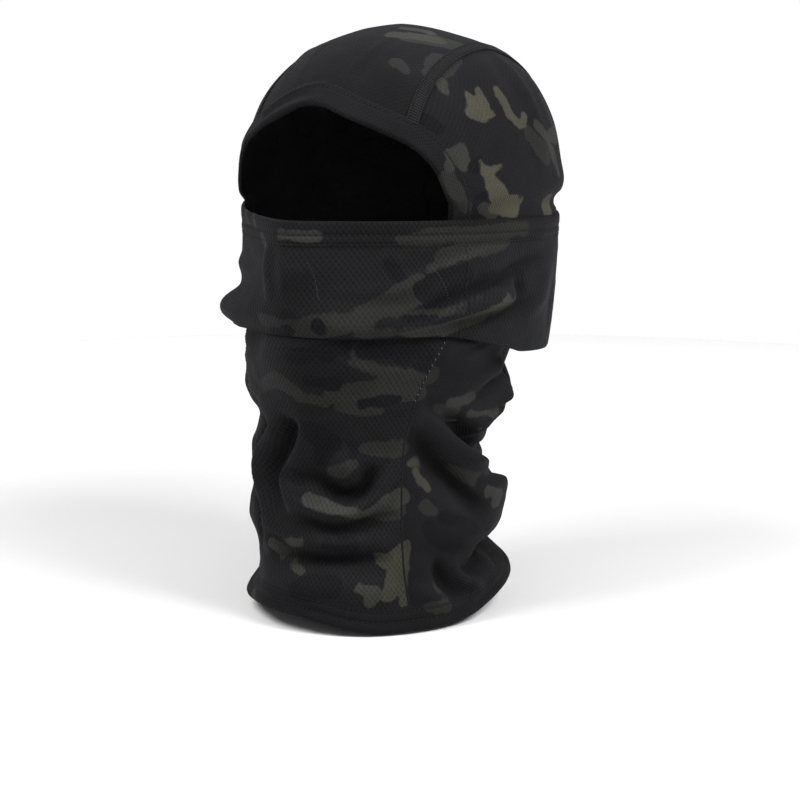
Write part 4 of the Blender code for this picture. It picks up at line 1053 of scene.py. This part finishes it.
def cloth_material(name, knit, tone=1.0, warp=2.6):
    g = Graph(name)
    rest = g.attr("rest", "Vector")
    fab = g.attr("fab", "Vector")
    hand = g.attr("placed")
    wobble = g.math("SUBTRACT", g.noise(rest, 70.0, 3.0, 0.6), 0.5)
    wobble = g.math("MULTIPLY", wobble, warp * 3.0)
    masks = {}
    for i, (kind, size, level) in enumerate((("olive", 21.0, 0.55), ("grey", 26.0, 0.61),
                                             ("tan", 30.0, 0.68), ("khaki", 30.0, 0.69),
                                             ("dark", 30.0, 0.60))):
        grown = g.noise(g.shift(rest, (0.31 * i + 0.1, 0.17 * i, 0.23 * i), (0.8, 0.8, 1.5)),
                        size, 1.5, 0.45)
        grown = g.math("MULTIPLY", g.math("SUBTRACT", grown, level), 60.0)
        d = g.node("ShaderNodeMix", data_type="FLOAT")
        g.put(d.inputs[0], hand)
        g.put(d.inputs[2], grown)
        g.put(d.inputs[3], g.attr(kind))
        masks[kind] = g.ramp(g.math("ADD", d.outputs[0], wobble), -1.9, -0.5)
    col = g.mix(masks["olive"], BASE, OLIVE)
    col = g.mix(masks["grey"], col, GREY)
    col = g.mix(masks["dark"], col, DARK)
    col = g.mix(masks["tan"], col, TAN)
    col = g.mix(masks["khaki"], col, KHAKI)
    # slow drift of tone and fine speckle of the yarn
    slow = g.ramp(g.noise(rest, 34.0, 2.0), 0.25, 0.75, 0.86, 1.14)
    speck = g.ramp(g.noise(rest, 2600.0, 1.0), 0.2, 0.8, 0.78, 1.22)
    x, y, _ = g.split(fab)
    if knit == "mesh":
        # staggered eyelets 2.4 x 1.9 mm
        u = g.math("MULTIPLY", x, 2 * math.pi / 0.0026)
        v = g.math("MULTIPLY", y, 2 * math.pi / 0.0038)
        weave = g.math("MULTIPLY", g.math("COSINE", u), g.math("COSINE", v))
        weave = g.ramp(weave, -0.75, 0.35)
        # the eyelets' holes are painted darker: painted shade in the holes
        knit_tone_and_shade = g.ramp(weave, 0.0, 1.0, 0.90, 1.10)
        depth = 0.00045
    else:
        # fine diagonal rib, about 1.1 mm across
        k = 2 * math.pi / 0.0011
        a = g.math("MULTIPLY", g.math("ADD", g.math("MULTIPLY", x, 0.62),
                                      g.math("MULTIPLY", y, 0.78)), k)
        b = g.math("MULTIPLY", g.math("SUBTRACT", g.math("MULTIPLY", x, 0.78),
                                      g.math("MULTIPLY", y, 0.62)), k * 0.55)
        weave = g.math("ADD", g.math("MULTIPLY", g.math("SINE", a), 0.36),
                       g.math("MULTIPLY", g.math("SINE", b), 0.14))
        weave = g.math("ADD", weave, 0.5)
        knit_tone_and_shade = g.ramp(weave, 0.0, 1.0, 0.82, 1.18)
        depth = 0.0003
    grain_and_shade = g.math("MULTIPLY", g.math("MULTIPLY", slow, speck), knit_tone_and_shade)
    grain_and_shade = g.math("MULTIPLY", grain_and_shade, tone)
    # painted shade and painted highlight from the shade attribute: darker where it is positive, lighter
    # where it is negative
    shade = g.attr("shade")
    grain_and_shade = g.math("MULTIPLY", grain_and_shade, g.math("SUBTRACT", 1.0, g.math("MULTIPLY", shade, 0.45)))
    colour = g.mix(1.0, col, (1, 1, 1), "MULTIPLY")
    n = g.node("ShaderNodeVectorMath", operation="SCALE")
    g.put(n.inputs[0], colour)
    g.put(n.inputs["Scale"], grain_and_shade)
    inside = g.node("ShaderNodeVectorMath", operation="SCALE")
    inside.inputs[0].default_value = INSIDE
    g.put(inside.inputs["Scale"], g.math("MULTIPLY", speck, slow))
    colour = g.mix(g.attr("inner"), n.outputs[0], inside.outputs[0])
    g.put(g.bsdf.inputs["Base Color"], colour)
    g.bsdf.inputs["Roughness"].default_value = 0.82
    g.put(g.bsdf.inputs["Roughness"], g.ramp(weave, 0.0, 1.0, 0.92, 0.74))
    g.bsdf.inputs["Specular IOR Level"].default_value = 0.07
    g.bsdf.inputs["Sheen Weight"].default_value = 0.02
    g.bsdf.inputs["Sheen Roughness"].default_value = 0.45
    g.bsdf.inputs["Sheen Tint"].default_value = (0.9, 0.92, 1.0, 1.0)
    fuzz = g.noise(rest, 1500.0, 2.0)
    high = g.math("ADD", weave, g.math("MULTIPLY", fuzz, 0.5))
    bump = g.node("ShaderNodeBump")
    bump.inputs["Strength"].default_value = 0.5
    bump.inputs["Distance"].default_value = depth
    g.put(bump.inputs["Height"], high)
    g.put(g.bsdf.inputs["Normal"], bump.outputs[0])
    return g.mat


def thread_material(name, colour, twist=0.0009):
    g = Graph(name)
    x, y, _ = g.split(g.attr("fab", "Vector"))
    rest = g.attr("rest", "Vector")
    ply = g.math("SINE", g.math("MULTIPLY", g.math("ADD", x, g.math("MULTIPLY", y, 0.8)),
                                2 * math.pi / twist))
    ply = g.math("ADD", g.math("MULTIPLY", ply, 0.5), 0.5)
    fibre = g.noise(rest, 3000.0, 1.0)
    tone = g.math("MULTIPLY", g.ramp(ply, 0, 1, 0.72, 1.25), g.ramp(fibre, 0.2, 0.8, 0.8, 1.2))
    n = g.node("ShaderNodeVectorMath", operation="SCALE")
    n.inputs[0].default_value = colour
    g.put(n.inputs["Scale"], tone)
    g.put(g.bsdf.inputs["Base Color"], n.outputs[0])
    g.put(g.bsdf.inputs["Roughness"], g.ramp(ply, 0, 1, 0.7, 0.5))
    g.bsdf.inputs["Specular IOR Level"].default_value = 0.08
    g.bsdf.inputs["Sheen Weight"].default_value = 0.03
    bump = g.node("ShaderNodeBump")
    bump.inputs["Strength"].default_value = 0.5
    bump.inputs["Distance"].default_value = 0.00015
    g.put(bump.inputs["Height"], ply)
    g.put(g.bsdf.inputs["Normal"], bump.outputs[0])
    return g.mat


MESH = cloth_material("camo_mesh_knit", "mesh")
FINE = cloth_material("camo_fine_knit", "fine")
THREAD = thread_material("seam_thread", (0.0068, 0.0068, 0.0078))
PALE = thread_material("stitch_tip", (0.10, 0.10, 0.11))

CLOTHS = []


def settle(ob, node, body):
    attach(ob, body)
    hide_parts(node)
    return ob


def lifted(P, lift, outward):
    return P + grid_normals(P, False, outward) * lift


HEAD = np.array([0.0, -8.0, -10.0])


def hood_skin(P, normals):
    return P + normals * fold_hood(P)[..., None]


def hood_normal(phi, z, e=0.3):
    su = hood(phi + e, z) - hood(phi - e, z)
    sv = hood(phi, z + e) - hood(phi, z - e)
    n = unit(np.cross(su, sv))
    p = hood(phi, z)
    return np.where(np.sum(n * (p - HEAD), -1, keepdims=True) < 0, -n, n)


def build_hood():
    outer_half = opening_band(BINDING_W - 1.4)
    xyz = hood(outer_half[:, 0], outer_half[:, 1])
    j = int(np.argmax(xyz[:, 0] > 49.3))
    top, low = outer_half[:j + 1], outer_half[j:]
    start = xyz[j]
    tau0 = math.degrees(math.atan2(start[2], -start[1]))
    tau_end = 180.0 + math.degrees(math.atan2(-COLLAR_Z, 37.0))

    def seam_point(v):
        s = np.clip((v - 0.42) / 0.58, 0, 1)
        x = start[0] - 3.0 * np.clip(v / 0.42, 0, 1) - 29.5 * s * s * (3 - 2 * s)
        return x, tau0 + (tau_end - tau0) * v

    def crown(w, v):
        """Grid over the crown strip: w across -1..1, v from forehead to nape."""
        tops = hood(resample(top, 200)[:, 0], resample(top, 200)[:, 1])
        tau_top = np.degrees(np.arctan2(tops[:, 2], -tops[:, 1]))
        xa, ta = seam_point(v)
        W = w[:, None]
        t_front = np.interp(np.abs(W) * start[0], tops[:, 0], tau_top)
        tau = t_front * (1 - v) + ta[-1] * v + ta - (ta[0] * (1 - v) + ta[-1] * v)
        return hood_ray(xa[None] * W, tau)

    # crown panel
    v = np.linspace(0, 1, 250)
    w = np.linspace(-1, 1, 71)
    P = crown(w, v)
    N = grid_normals(P, False, P - HEAD)
    d = fold_hood(P)
    edge = np.minimum(1 - np.abs(w), 0.16) / 0.16
    d = d - 0.55 * (1 - edge[:, None]) ** 2
    P = P + N * d[..., None]
    ang = np.cumsum(np.r_[0, np.linalg.norm(np.diff(P[35], axis=0), axis=1)])
    fab = np.stack([P[..., 0], np.broadcast_to(ang, P.shape[:2])], -1)
    soft = lambda at, w: np.exp(-np.sum((P - at) ** 2, -1) / w ** 2)
    # painted shade as soft darker zones on the crown's front, and painted light as lighter zones
    # towards its top
    tone = (0.8 * soft((38, -73, 65), 23) + 0.3 * soft((8, -72, 76), 20)
            - 0.8 * soft((42, -22, 88), 27) - 0.5 * soft((43, -57, 75), 8)
            - 0.3 * soft((20, -76, 72), 5) - 0.3 * soft((30, -60, 80), 7))
    ob = cloth("crown_cloth", P, fab, "hood", FINE, shade=tone)
    settle(ob, "crown_panel", "root")

    # side panels
    nu, nv = 190, 120
    v2 = np.linspace(0, 1, nu)
    xa, ta = seam_point(v2)
    a_line = np.stack(hood_inverse(hood_ray(xa, ta)), -1)
    b_line = resample(low[::-1], nv)
    b_line[0, 0] = 0.0
    d_line = np.linspace(b_line[0], [0.0, COLLAR_Z], nu)
    c_line = np.linspace([0.0, COLLAR_Z], [a_line[-1, 0], COLLAR_Z], nv)
    u = v2[:, None, None]
    q = np.linspace(0, 1, nv)[None, :, None] ** 2.2
    patch = ((1 - u) * b_line[None] + u * c_line[None] + (1 - q) * d_line[:, None]
             + q * a_line[:, None]
             - (1 - u) * (1 - q) * b_line[0] - (1 - u) * q * b_line[-1]
             - u * (1 - q) * c_line[0] - u * q * c_line[-1])
    base = hood(patch[..., 0], patch[..., 1])
    for side, sign in (("left", 1.0), ("right", -1.0)):
        G = base * [sign, 1, 1]
        N = grid_normals(G, False, G - HEAD)
        d = fold_hood(G)
        k = np.linspace(0, 1, nv)
        d = d - 0.5 * np.clip((k - 0.94) / 0.06, 0, 1)[None] ** 2
        G = G + N * d[..., None]
        G[:, 0, 0] = sign * np.maximum(np.abs(G[:, 0, 0]), 0.15)
        fab = np.stack([G[..., 1], G[..., 2]], -1)
        ob = cloth("hood_side_cloth_" + side, G, fab, "hood", FINE)
        settle(ob, "hood_side_panel_" + side, "root")

    # covered seams over the crown's borders: flat band, cords and ribs
    v3 = np.linspace(0, 0.985, 420)
    xs, ts = seam_point(v3)
    line = hood_ray(xs, ts)
    near = crown(np.array([0.985, 1.0, 1.015]), v3)
    nrm = grid_normals(near, False, near - HEAD)[1]
    for side, sign in (("left", 1.0), ("right", -1.0)):
        L = line * [sign, 1, 1]
        n = unit(nrm * [sign, 1, 1])
        L = L + n * fold_hood(L)[:, None]
        t = unit(np.gradient(L, axis=0))
        across = unit(np.cross(n, t))
        parts = [ribbon(L + n * 0.1, n, across, SEAM_W, 0.55, arch=7)]
        for o in (-SEAM_W / 2 + 0.5, SEAM_W / 2 - 0.5):
            v_, q_, t_, f_ = stitches(L + across * o + n * 0.62, n, 1.5, 1.35, 0.33)
            parts.append((v_, q_, t_, f_, 1))
        # ribs across the band
        tt, s, Q = along_line(L, 1.5)
        c = np.stack([np.interp(tt, s, L[:, k]) for k in range(3)], -1)
        nn = unit(np.stack([np.interp(tt, s, n[:, k]) for k in range(3)], -1))
        aa = unit(np.stack([np.interp(tt, s, across[:, k]) for k in range(3)], -1))
        dd = unit(np.stack([np.interp(tt, s, t[:, k]) for k in range(3)], -1))
        ribs = capsules("", c + nn * 0.62, unit(aa + 0.16 * dd), nn, SEAM_W - 0.9, 0.42, None)
        parts.append((*ribs, 1))
        ob = thread_piece("crown_seam_cloth_" + side, parts, SEAM_BAND, THREAD)
        settle(ob, "crown_seam_" + side, "root")

    # binding: a turned band round the opening, thick at its edge
    offs = np.array([0.15, 0.6, 1.5, 3.0, 4.6, 6.2, 7.8, 9.0, 9.6, 10.1, 10.6, 11.3, 12.2])
    lift = np.array([0.75, 1.15, 1.25, 1.05, 0.9, 0.85, 0.85, 0.75, 0.45, 0.30, 0.45, 0.55, 0.25])
    half = [resample(opening_band(o), 240) for o in offs]
    rings = np.stack([np.vstack([h, h[1:-1][::-1] * [-1, 1]]) for h in half], 1)
    G = hood(rings[..., 0], rings[..., 1])
    N = hood_normal(rings[..., 0], rings[..., 1])
    d = fold_hood(G)
    G = G + N * (d + lift[None])[..., None]
    # rolled inner border
    e = unit(G[:, 0] - G[:, 2])
    n0 = N[:, 0]
    roll = [G[:, 0] + e * (0.95 * math.sin(a)) - n0 * (1.0 * (1 - math.cos(a)))
            for a in np.radians([150, 115, 80, 45])]
    G2 = np.concatenate([np.stack(roll, 1), G], 1)
    s = np.concatenate([[0], np.cumsum(np.linalg.norm(np.diff(G2[:, 6], axis=0), axis=1))])
    fab = np.stack([np.repeat(s[:, None], G2.shape[1], 1),
                    np.tile(np.r_[-2.5, -1.8, -1.0, -0.4, offs], (len(s), 1))], -1)
    # painted shade on the rolled inner border and in the groove along the stitch line
    shade = np.tile(np.r_[0.6, 0.5, 0.4, 0.2, np.where(np.abs(offs - 10.1) < 0.4, 0.6, 0.0)],
                    (len(s), 1))
    ob = cloth("binding_cloth", G2, fab, "hood", HEMS, thickness=0.9, closed=True, shade=shade)
    settle(ob, "face_opening_binding", "root")

    half = resample(opening_band(10.1), 400)
    ring = np.vstack([half, half[1:-1][::-1] * [-1, 1]])
    L = hood(ring[:, 0], ring[:, 1])
    n = hood_normal(ring[:, 0], ring[:, 1])
    L = L + n * (fold_hood(L) + 0.45)[:, None]
    ob = thread_piece("binding_stitch_thread", [stitches(L, n, 2.7, 2.1, 0.28, True)], THREAD)
    settle(ob, "face_opening_stitch", "root")

    # join of hood and neck tube
    phi = np.linspace(-180, 180, 240, endpoint=False)
    z = np.full_like(phi, COLLAR_Z + 4.0)
    L, n = hood(phi, z), hood_normal(phi, z)
    across = np.tile([0.0, 0.0, 1.0], (len(phi), 1))
    parts = [ribbon(L + n * 0.7, n, across, 6.0, 0.6, True, 7),
             (*stitches(L + n * 1.35 + across * 1.7, n, 2.7, 2.1, 0.28, True), 1),
             (*stitches(L + n * 1.35 - across * 1.7, n, 2.7, 2.1, 0.28, True), 1)]
    ob = thread_piece("hood_neck_seam_cloth", parts, SEAM_BAND, THREAD)
    settle(ob, "hood_neck_seam", "root")


def squash_neck(ob):
    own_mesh(ob)


def edge_z(phi):
    return smooth(wrap(phi), HEM_EDGE)


def neck_panel(name, node, phi_of, base, nz, material):
    """A neck panel: phi_of(z, t) gives the angle across, between its seams."""
    T = base[:, None]
    z = np.linspace(0, 1, nz)[None] * np.ones_like(T)
    phi = phi_of(-140.0 + 0 * z, T)
    for _ in range(3):
        lo = edge_z(phi[:, :1]) + 10.2
        hi = smooth(np.abs(wrap(phi[:, -1:])), NECK_TOP)
        Z = lo + (hi - lo) * z
        phi = phi_of(Z, T)
    lift = -0.75 * np.clip((np.abs(2 * T - 1) - 0.975) / 0.025, 0, 1) ** 2 + 0 * Z
    P, N = SKIN_NECK.at(phi, Z, lift)
    fab = np.stack([arc(phi) if "front" in name else arc_long(phi), Z], -1)
    # painted shade in the fold hollows and a painted highlight on crests, plus painted shade on a strip
    # of the neck's far side beside the pleat
    pocket_shade = SKIN_NECK.sample(SKIN_NECK.pocket_shade, phi, Z)[..., 0]
    far_side_shade = np.exp(-((wrap(phi) + 53) / 11) ** 2) * np.exp(-((Z + 150) / 32.0) ** 4)
    ob = cloth(name, P, fab, "neck", material, outward=(P - [0, -20, 0]) * [1, 1, 0],
               round_hi=False, shade=np.clip(pocket_shade * 0.42 + 0.5 * far_side_shade, -0.35, 1.0))
    settle(ob, node, "root")
    squash_neck(ob)
    return ob


def arc_long(phi):
    """arc() without the jump at the back: angles from 0 to 360."""
    total = _s[-1] - _s[0]
    p = np.asarray(phi, float)
    return np.where(p > 180, arc(p) + total, arc(p))


def build_neck():
    half = lambda Z: smooth(Z, SIDE_SEAM) - 0.10
    neck_panel("neck_front_cloth", "neck_front_panel", lambda Z, T: (2 * T - 1) * half(Z),
               np.linspace(0, 1, 125), 125, MESH)
    back = lambda Z, T: (half(Z) + 0.2) + (360 - 2 * (half(Z) + 0.2)) * T
    neck_panel("neck_back_cloth", "neck_back_panel", back, np.linspace(0, 1, 180), 110,
               FINE)
    for side, sign in (("left", 1.0), ("right", -1.0)):
        zz = np.linspace(float(edge_z(sign * 47.0)) + 0.6, -54.0, 260)
        ph = sign * smooth(zz, SIDE_SEAM)
        L, n = SKIN_NECK.at(ph, zz, 0.0)
        t = unit(np.gradient(L, axis=0))
        across = unit(np.cross(t, n)) * sign
        parts = [ribbon(L - n * 0.75, n, across, 1.5, 0.35, arch=5),
                 (*stitches(L - n * 0.42, n, 2.3, 1.7, 0.26, turn=14.0), 1)]
        # a few stitch tips that show at the top of the seam
        m = zz > -98
        tips = stitches((L + n * 0.12 - across * 0.5)[m], n[m], 3.4, 0.9, 0.2, turn=40.0)
        parts.append((*tips, 2))
        ob = thread_piece("neck_seam_thread_" + side, parts, SEAM_BAND, THREAD)
        ob.data.materials.append(PALE)
        settle(ob, "neck_seam_" + side, "root")
        squash_neck(ob)
    # bottom hem, turned inside at the edge
    phi = np.linspace(-180, 180, 420, endpoint=False)
    hh = np.array([0.0, 0.4, 1.2, 2.4, 4.0, 4.8, 5.3, 5.8, 6.6, 8.2, 9.6, 10.4, 10.9, 11.4, 12.2])
    lift = np.array([0.35, 0.62, 0.75, 0.7, 0.5, 0.2, 0.0, 0.2, 0.5, 0.6, 0.4, 0.12, 0.0, 0.1, 0.12])
    lo = edge_z(phi)[:, None]
    P, N = SKIN_NECK.at(phi[:, None] + 0 * hh, lo + hh, lift + 0 * lo)
    n0 = unit(N[:, 0] * [1, 1, 0])
    down = np.array([0, 0, -1.0])
    roll = [P[:, 0] + down * (0.95 * math.sin(a)) - n0 * (1.0 * (1 - math.cos(a)))
            for a in np.radians([165, 130, 90, 45])]
    P = np.concatenate([np.stack(roll, 1), P], 1)
    fab = np.stack([np.repeat(arc(phi)[:, None], P.shape[1], 1),
                    lo + np.r_[-2.6, -1.9, -1.1, -0.5, hh]], -1)
    # painted shade under the turned edge and in the two stitch grooves
    groove = np.exp(-((hh - 5.3) / 0.5) ** 2) + np.exp(-((hh - 10.9) / 0.5) ** 2)
    shade = np.tile(np.r_[0.7, 0.6, 0.4, 0.2, 0.7 * groove], (len(phi), 1))
    ob = cloth("bottom_hem_cloth", P, fab, "neck", HEMS, closed=True, thickness=0.9,
               outward=(P - [0, -20, 0]) * [1, 1, 0], shade=shade)
    settle(ob, "bottom_hem", "root")
    squash_neck(ob)
    phi = np.linspace(-180, 180, 720, endpoint=False)
    for name, h in (("upper", 10.9), ("lower", 5.3)):
        L, n = SKIN_NECK.at(phi, edge_z(phi) + h, 0.18)
        ob = thread_piece("bottom_hem_thread_" + name,
                          [stitches(L, n, 2.8, 2.1, 0.27, True)], THREAD)
        settle(ob, "bottom_hem_stitch_" + name, "root")
        squash_neck(ob)


def rim_scale(phi):
    return 1 + cover_raise(phi) / 11.2


def cover_panel(name, node, phi, nz, material, closed=False):
    lo = smooth(wrap(phi), COVER_EDGE)
    hi = cover_top(phi) - 10.6 * rim_scale(phi)
    Z = lo[:, None] + (hi - lo)[:, None] * np.linspace(0, 1, nz)[None]
    PH = phi[:, None] + 0 * Z
    edge = np.minimum(np.arange(len(phi)), np.arange(len(phi))[::-1])
    lift = (-0.12 * np.clip(1 - edge / 1.5, 0, 1) ** 2)[:, None] + 0 * Z
    P, N = SKIN_COVER.at(PH, Z, lift)
    # the lower border turns in under the roll in front, and hangs free behind
    w = np.abs(wrap(phi))
    r = 0.45 + 0.2 * (1 - step(w, 58, 78))
    r = np.where(wrap(phi) < 0, 0.45 + 0.2 + 1.6 * step(w, 35, 60) * (1 - step(w, 80, 105)), r)
    n0 = unit(N[:, 0] * [1, 1, 0])
    down = np.array([0, 0, -1.0])
    turn = np.radians([175, 150, 122, 95, 68, 42, 20])
    roll = [P[:, 0] + down * (r * math.sin(a))[:, None] - n0 * (r * (1 - math.cos(a)))[:, None]
            for a in turn]
    P = np.concatenate([np.stack(roll, 1), P], 1)
    v = np.concatenate([lo[:, None] - r[:, None] * turn[None], Z], 1)
    fab = np.stack([np.repeat(arc_cover(phi)[:, None], P.shape[1], 1), v], -1)
    # painted shade in the fold hollows and a painted highlight on crests; the rows turned under the
    # roll get extra painted shade
    pocket_shade = SKIN_COVER.sample(SKIN_COVER.pocket_shade, PH, Z)[..., 0]
    pocket_shade = np.concatenate([np.repeat(pocket_shade[:, :1] + 0.5, len(turn), 1), pocket_shade], 1)
    ob = cloth(name, P, fab, "cover", material, outward=P * [1, 1, 0],
               shade=np.clip(pocket_shade * 0.5, -0.35, 1.0))
    settle(ob, node, "face_cover")
    return ob


def arc_cover(phi):
    a = np.radians(np.linspace(0, 360, 1441))
    ds = np.hypot(82 * np.cos(a), 99 * np.sin(a)) * (a[1] - a[0])
    s = np.concatenate([[0], np.cumsum((ds[1:] + ds[:-1]) / 2)])
    p = np.asarray(phi, float)
    return np.sign(p) * np.interp(np.abs(p), np.degrees(a), s)


def build_cover():
    g = 0.03
    cover_panel("cover_front_cloth", "face_cover_front_panel",
                np.linspace(-58.5 + g, 58.5 - g, 175), 52, MESH)
    cover_panel("cover_back_cloth", "face_cover_back_panel",
                np.linspace(58.5 + g, 301.5 - g, 260), 56, MESH)
    for side, sign in (("left", 1.0), ("right", -1.0)):
        zz = np.linspace(float(smooth(sign * 58.5, COVER_EDGE)) + 0.5, -13.5, 120)
        ph = np.full_like(zz, sign * 58.5)
        L, n = SKIN_COVER.at(ph, zz, 0.0)
        t = unit(np.gradient(L, axis=0))
        across = unit(np.cross(t, n)) * sign
        parts = [ribbon(L - n * 0.9, n, across, 1.2, 0.4, arch=5),
                 (*stitches(L - n * 0.5, n, 2.3, 1.7, 0.2, turn=14.0), 1)]
        ob = thread_piece("cover_seam_thread_" + side, parts, SEAM_BAND, THREAD)
        settle(ob, "face_cover_seam_" + side, "face_cover")
    # top hem, rolled at its upper border
    phi = np.linspace(-180, 180, 520, endpoint=False)
    dd = np.array([12.6, 11.8, 11.2, 10.6, 9.8, 8.6, 7.4, 6.8, 6.3, 5.8, 5.0, 3.6, 2.2, 1.0, 0.3, 0.0])
    lift = np.array([0.12, 0.12, 0.0, 0.14, 0.42, 0.55, 0.4, 0.14, 0.0, 0.16, 0.5, 0.68, 0.72,
                     0.72, 0.62, 0.4])
    hi = cover_top(phi)[:, None]
    dd_ = dd * rim_scale(phi)[:, None]
    P, N = SKIN_COVER.at(phi[:, None] + 0 * dd, hi - dd_, lift + 0 * hi)
    n0 = unit(N[:, -1] * [1, 1, 0])
    up = np.array([0, 0, 1.0])
    roll = [P[:, -1] + up * (0.9 * math.sin(a)) - n0 * (1.05 * (1 - math.cos(a)))
            for a in np.radians([45, 90, 130, 165])]
    P = np.concatenate([P, np.stack(roll, 1)], 1)
    fab = np.stack([np.repeat(arc_cover(phi)[:, None], P.shape[1], 1),
                    hi - np.r_[dd, -0.5, -1.1, -1.9, -2.6]], -1)
    # painted shade in the two stitch grooves, along the upper border and on its roll
    groove = np.exp(-((dd - 6.3) / 0.5) ** 2) + np.exp(-((dd - 11.2) / 0.5) ** 2)
    rim = np.exp(-(dd / 1.6) ** 2)
    shade = np.tile(np.r_[0.7 * groove + 0.6 * rim, 0.8, 0.9, 1.0, 1.0], (len(phi), 1))
    ob = cloth("cover_top_hem_cloth", P, fab, "cover", HEMS_MESH, closed=True,
               thickness=0.9, outward=P * [1, 1, 0], shade=shade)
    settle(ob, "face_cover_top_hem", "face_cover")
    phi = np.linspace(-180, 180, 900, endpoint=False)
    for name, h in (("upper", 6.3), ("lower", 11.2)):
        L, n = SKIN_COVER.at(phi, cover_top(phi) - h * rim_scale(phi), 0.18)
        ob = thread_piece("top_hem_thread_" + name, [stitches(L, n, 2.8, 2.1, 0.27, True)],
                          THREAD)
        settle(ob, "top_hem_stitch_" + name, "face_cover")


def build_pale_marks():
    """Two faint rows of small pale thread marks on the cover beside the nose."""
    rows = []
    for a, b in (((8.0, -21.0), (12.6, -40.5)), ((46.0, -25.0), (53.5, -41.5))):
        t = np.linspace(0, 1, 40)
        phi = a[0] + (b[0] - a[0]) * t + 0.6 * np.sin(t * 5)
        z = a[1] + (b[1] - a[1]) * t
        L, n = SKIN_COVER.at(phi, z, 0.02)
        rows.append(stitches(L, n, 1.6, 1.1, 0.11, turn=8.0))
    ob = thread_piece("cover_pale_marks", rows, PALE_SOFT)
    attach(ob, "face_cover")


PALE_SOFT = thread_material("pale_mark_soft", (0.035, 0.035, 0.038))
HEMS = cloth_material("camo_hem", "fine", 0.95)
HEMS_MESH = cloth_material("camo_hem_mesh", "mesh", 0.9)
SEAM_BAND = thread_material("seam_band", (0.0022, 0.0022, 0.0026), 0.0007)

SKIN_COVER = Skin(cover, -84.0, 4.5, fold_cover)
SKIN_NECK = Skin(neck, -224.0, -48.0, fold_neck)
build_hood()
build_neck()
build_cover()
build_pale_marks()


# ------------------------------------------------------------ floor, lights
def make_floor():
    g = Graph("floor_paint")
    coord = g.node("ShaderNodeTexCoord").outputs["Object"]
    n = g.noise(coord, 3.0, 2.0)
    x, y, _ = g.split(coord)
    r = g.math("SQRT", g.math("ADD", g.math("MULTIPLY", x, x), g.math("MULTIPLY", y, y)))
    c = g.mix(n, (0.60, 0.60, 0.60), (0.63, 0.63, 0.63))
    c = g.mix(g.ramp(r, 0.25, 0.9), c, (0.97, 0.97, 0.97))
    g.put(g.bsdf.inputs["Base Color"], c)
    g.bsdf.inputs["Roughness"].default_value = 0.9
    g.bsdf.inputs["Specular IOR Level"].default_value = 0.1
    z = -0.2223
    n_ = 48
    ring = [(1.0 * math.cos(2 * math.pi * i / n_), 1.0 * math.sin(2 * math.pi * i / n_), z)
            for i in range(n_)]
    mesh = bpy.data.meshes.new("floor")
    mesh.from_pydata(ring, [], [list(range(n_))])
    mesh.materials.append(g.mat)
    ob = bpy.data.objects.new("floor", mesh)
    bpy.context.scene.collection.objects.link(ob)


def area_light(name, az, el, dist, size, power, colour=(1, 1, 1), look=(0, -0.01, -0.09)):
    data = bpy.data.lights.new(name, "AREA")
    data.shape = "SQUARE"
    data.size = size
    data.energy = power
    data.color = colour
    ob = bpy.data.objects.new(name, data)
    bpy.context.scene.collection.objects.link(ob)
    a, e = math.radians(az), math.radians(el)
    d = Vector((math.sin(a) * math.cos(e), -math.cos(a) * math.cos(e), math.sin(e)))
    ob.location = Vector(look) + d * dist
    ob.rotation_mode = "QUATERNION"
    ob.rotation_quaternion = d.to_track_quat("Z", "Y")


def make_world():
    world = bpy.data.worlds.new("studio")
    bpy.context.scene.world = world
    world.use_nodes = True
    t = world.node_tree
    bg = t.nodes["Background"]
    bg.inputs["Color"].default_value = (1, 1, 1, 1)
    bg.inputs["Strength"].default_value = 0.35
    white = t.nodes.new("ShaderNodeBackground")
    white.inputs["Color"].default_value = (1, 1, 1, 1)
    white.inputs["Strength"].default_value = 1.0
    path = t.nodes.new("ShaderNodeLightPath")
    mix = t.nodes.new("ShaderNodeMixShader")
    t.links.new(path.outputs["Is Camera Ray"], mix.inputs[0])
    t.links.new(bg.outputs[0], mix.inputs[1])
    t.links.new(white.outputs[0], mix.inputs[2])
    t.links.new(mix.outputs[0], t.nodes["World Output"].inputs[0])


make_floor()
make_world()
area_light("key_left", -34, 50, 1.1, 0.6, 14.5)
area_light("side_right", 84, 42, 1.2, 0.6, 22)
area_light("rim_left", -112, 30, 1.6, 0.7, 1.5)
area_light("front_low", 30, 14, 1.9, 1.0, 2)
area_light("top", 20, 80, 2.2, 2.6, 12)
scene = bpy.context.scene
scene.view_settings.view_transform = "Standard"
scene.view_settings.look = "None"
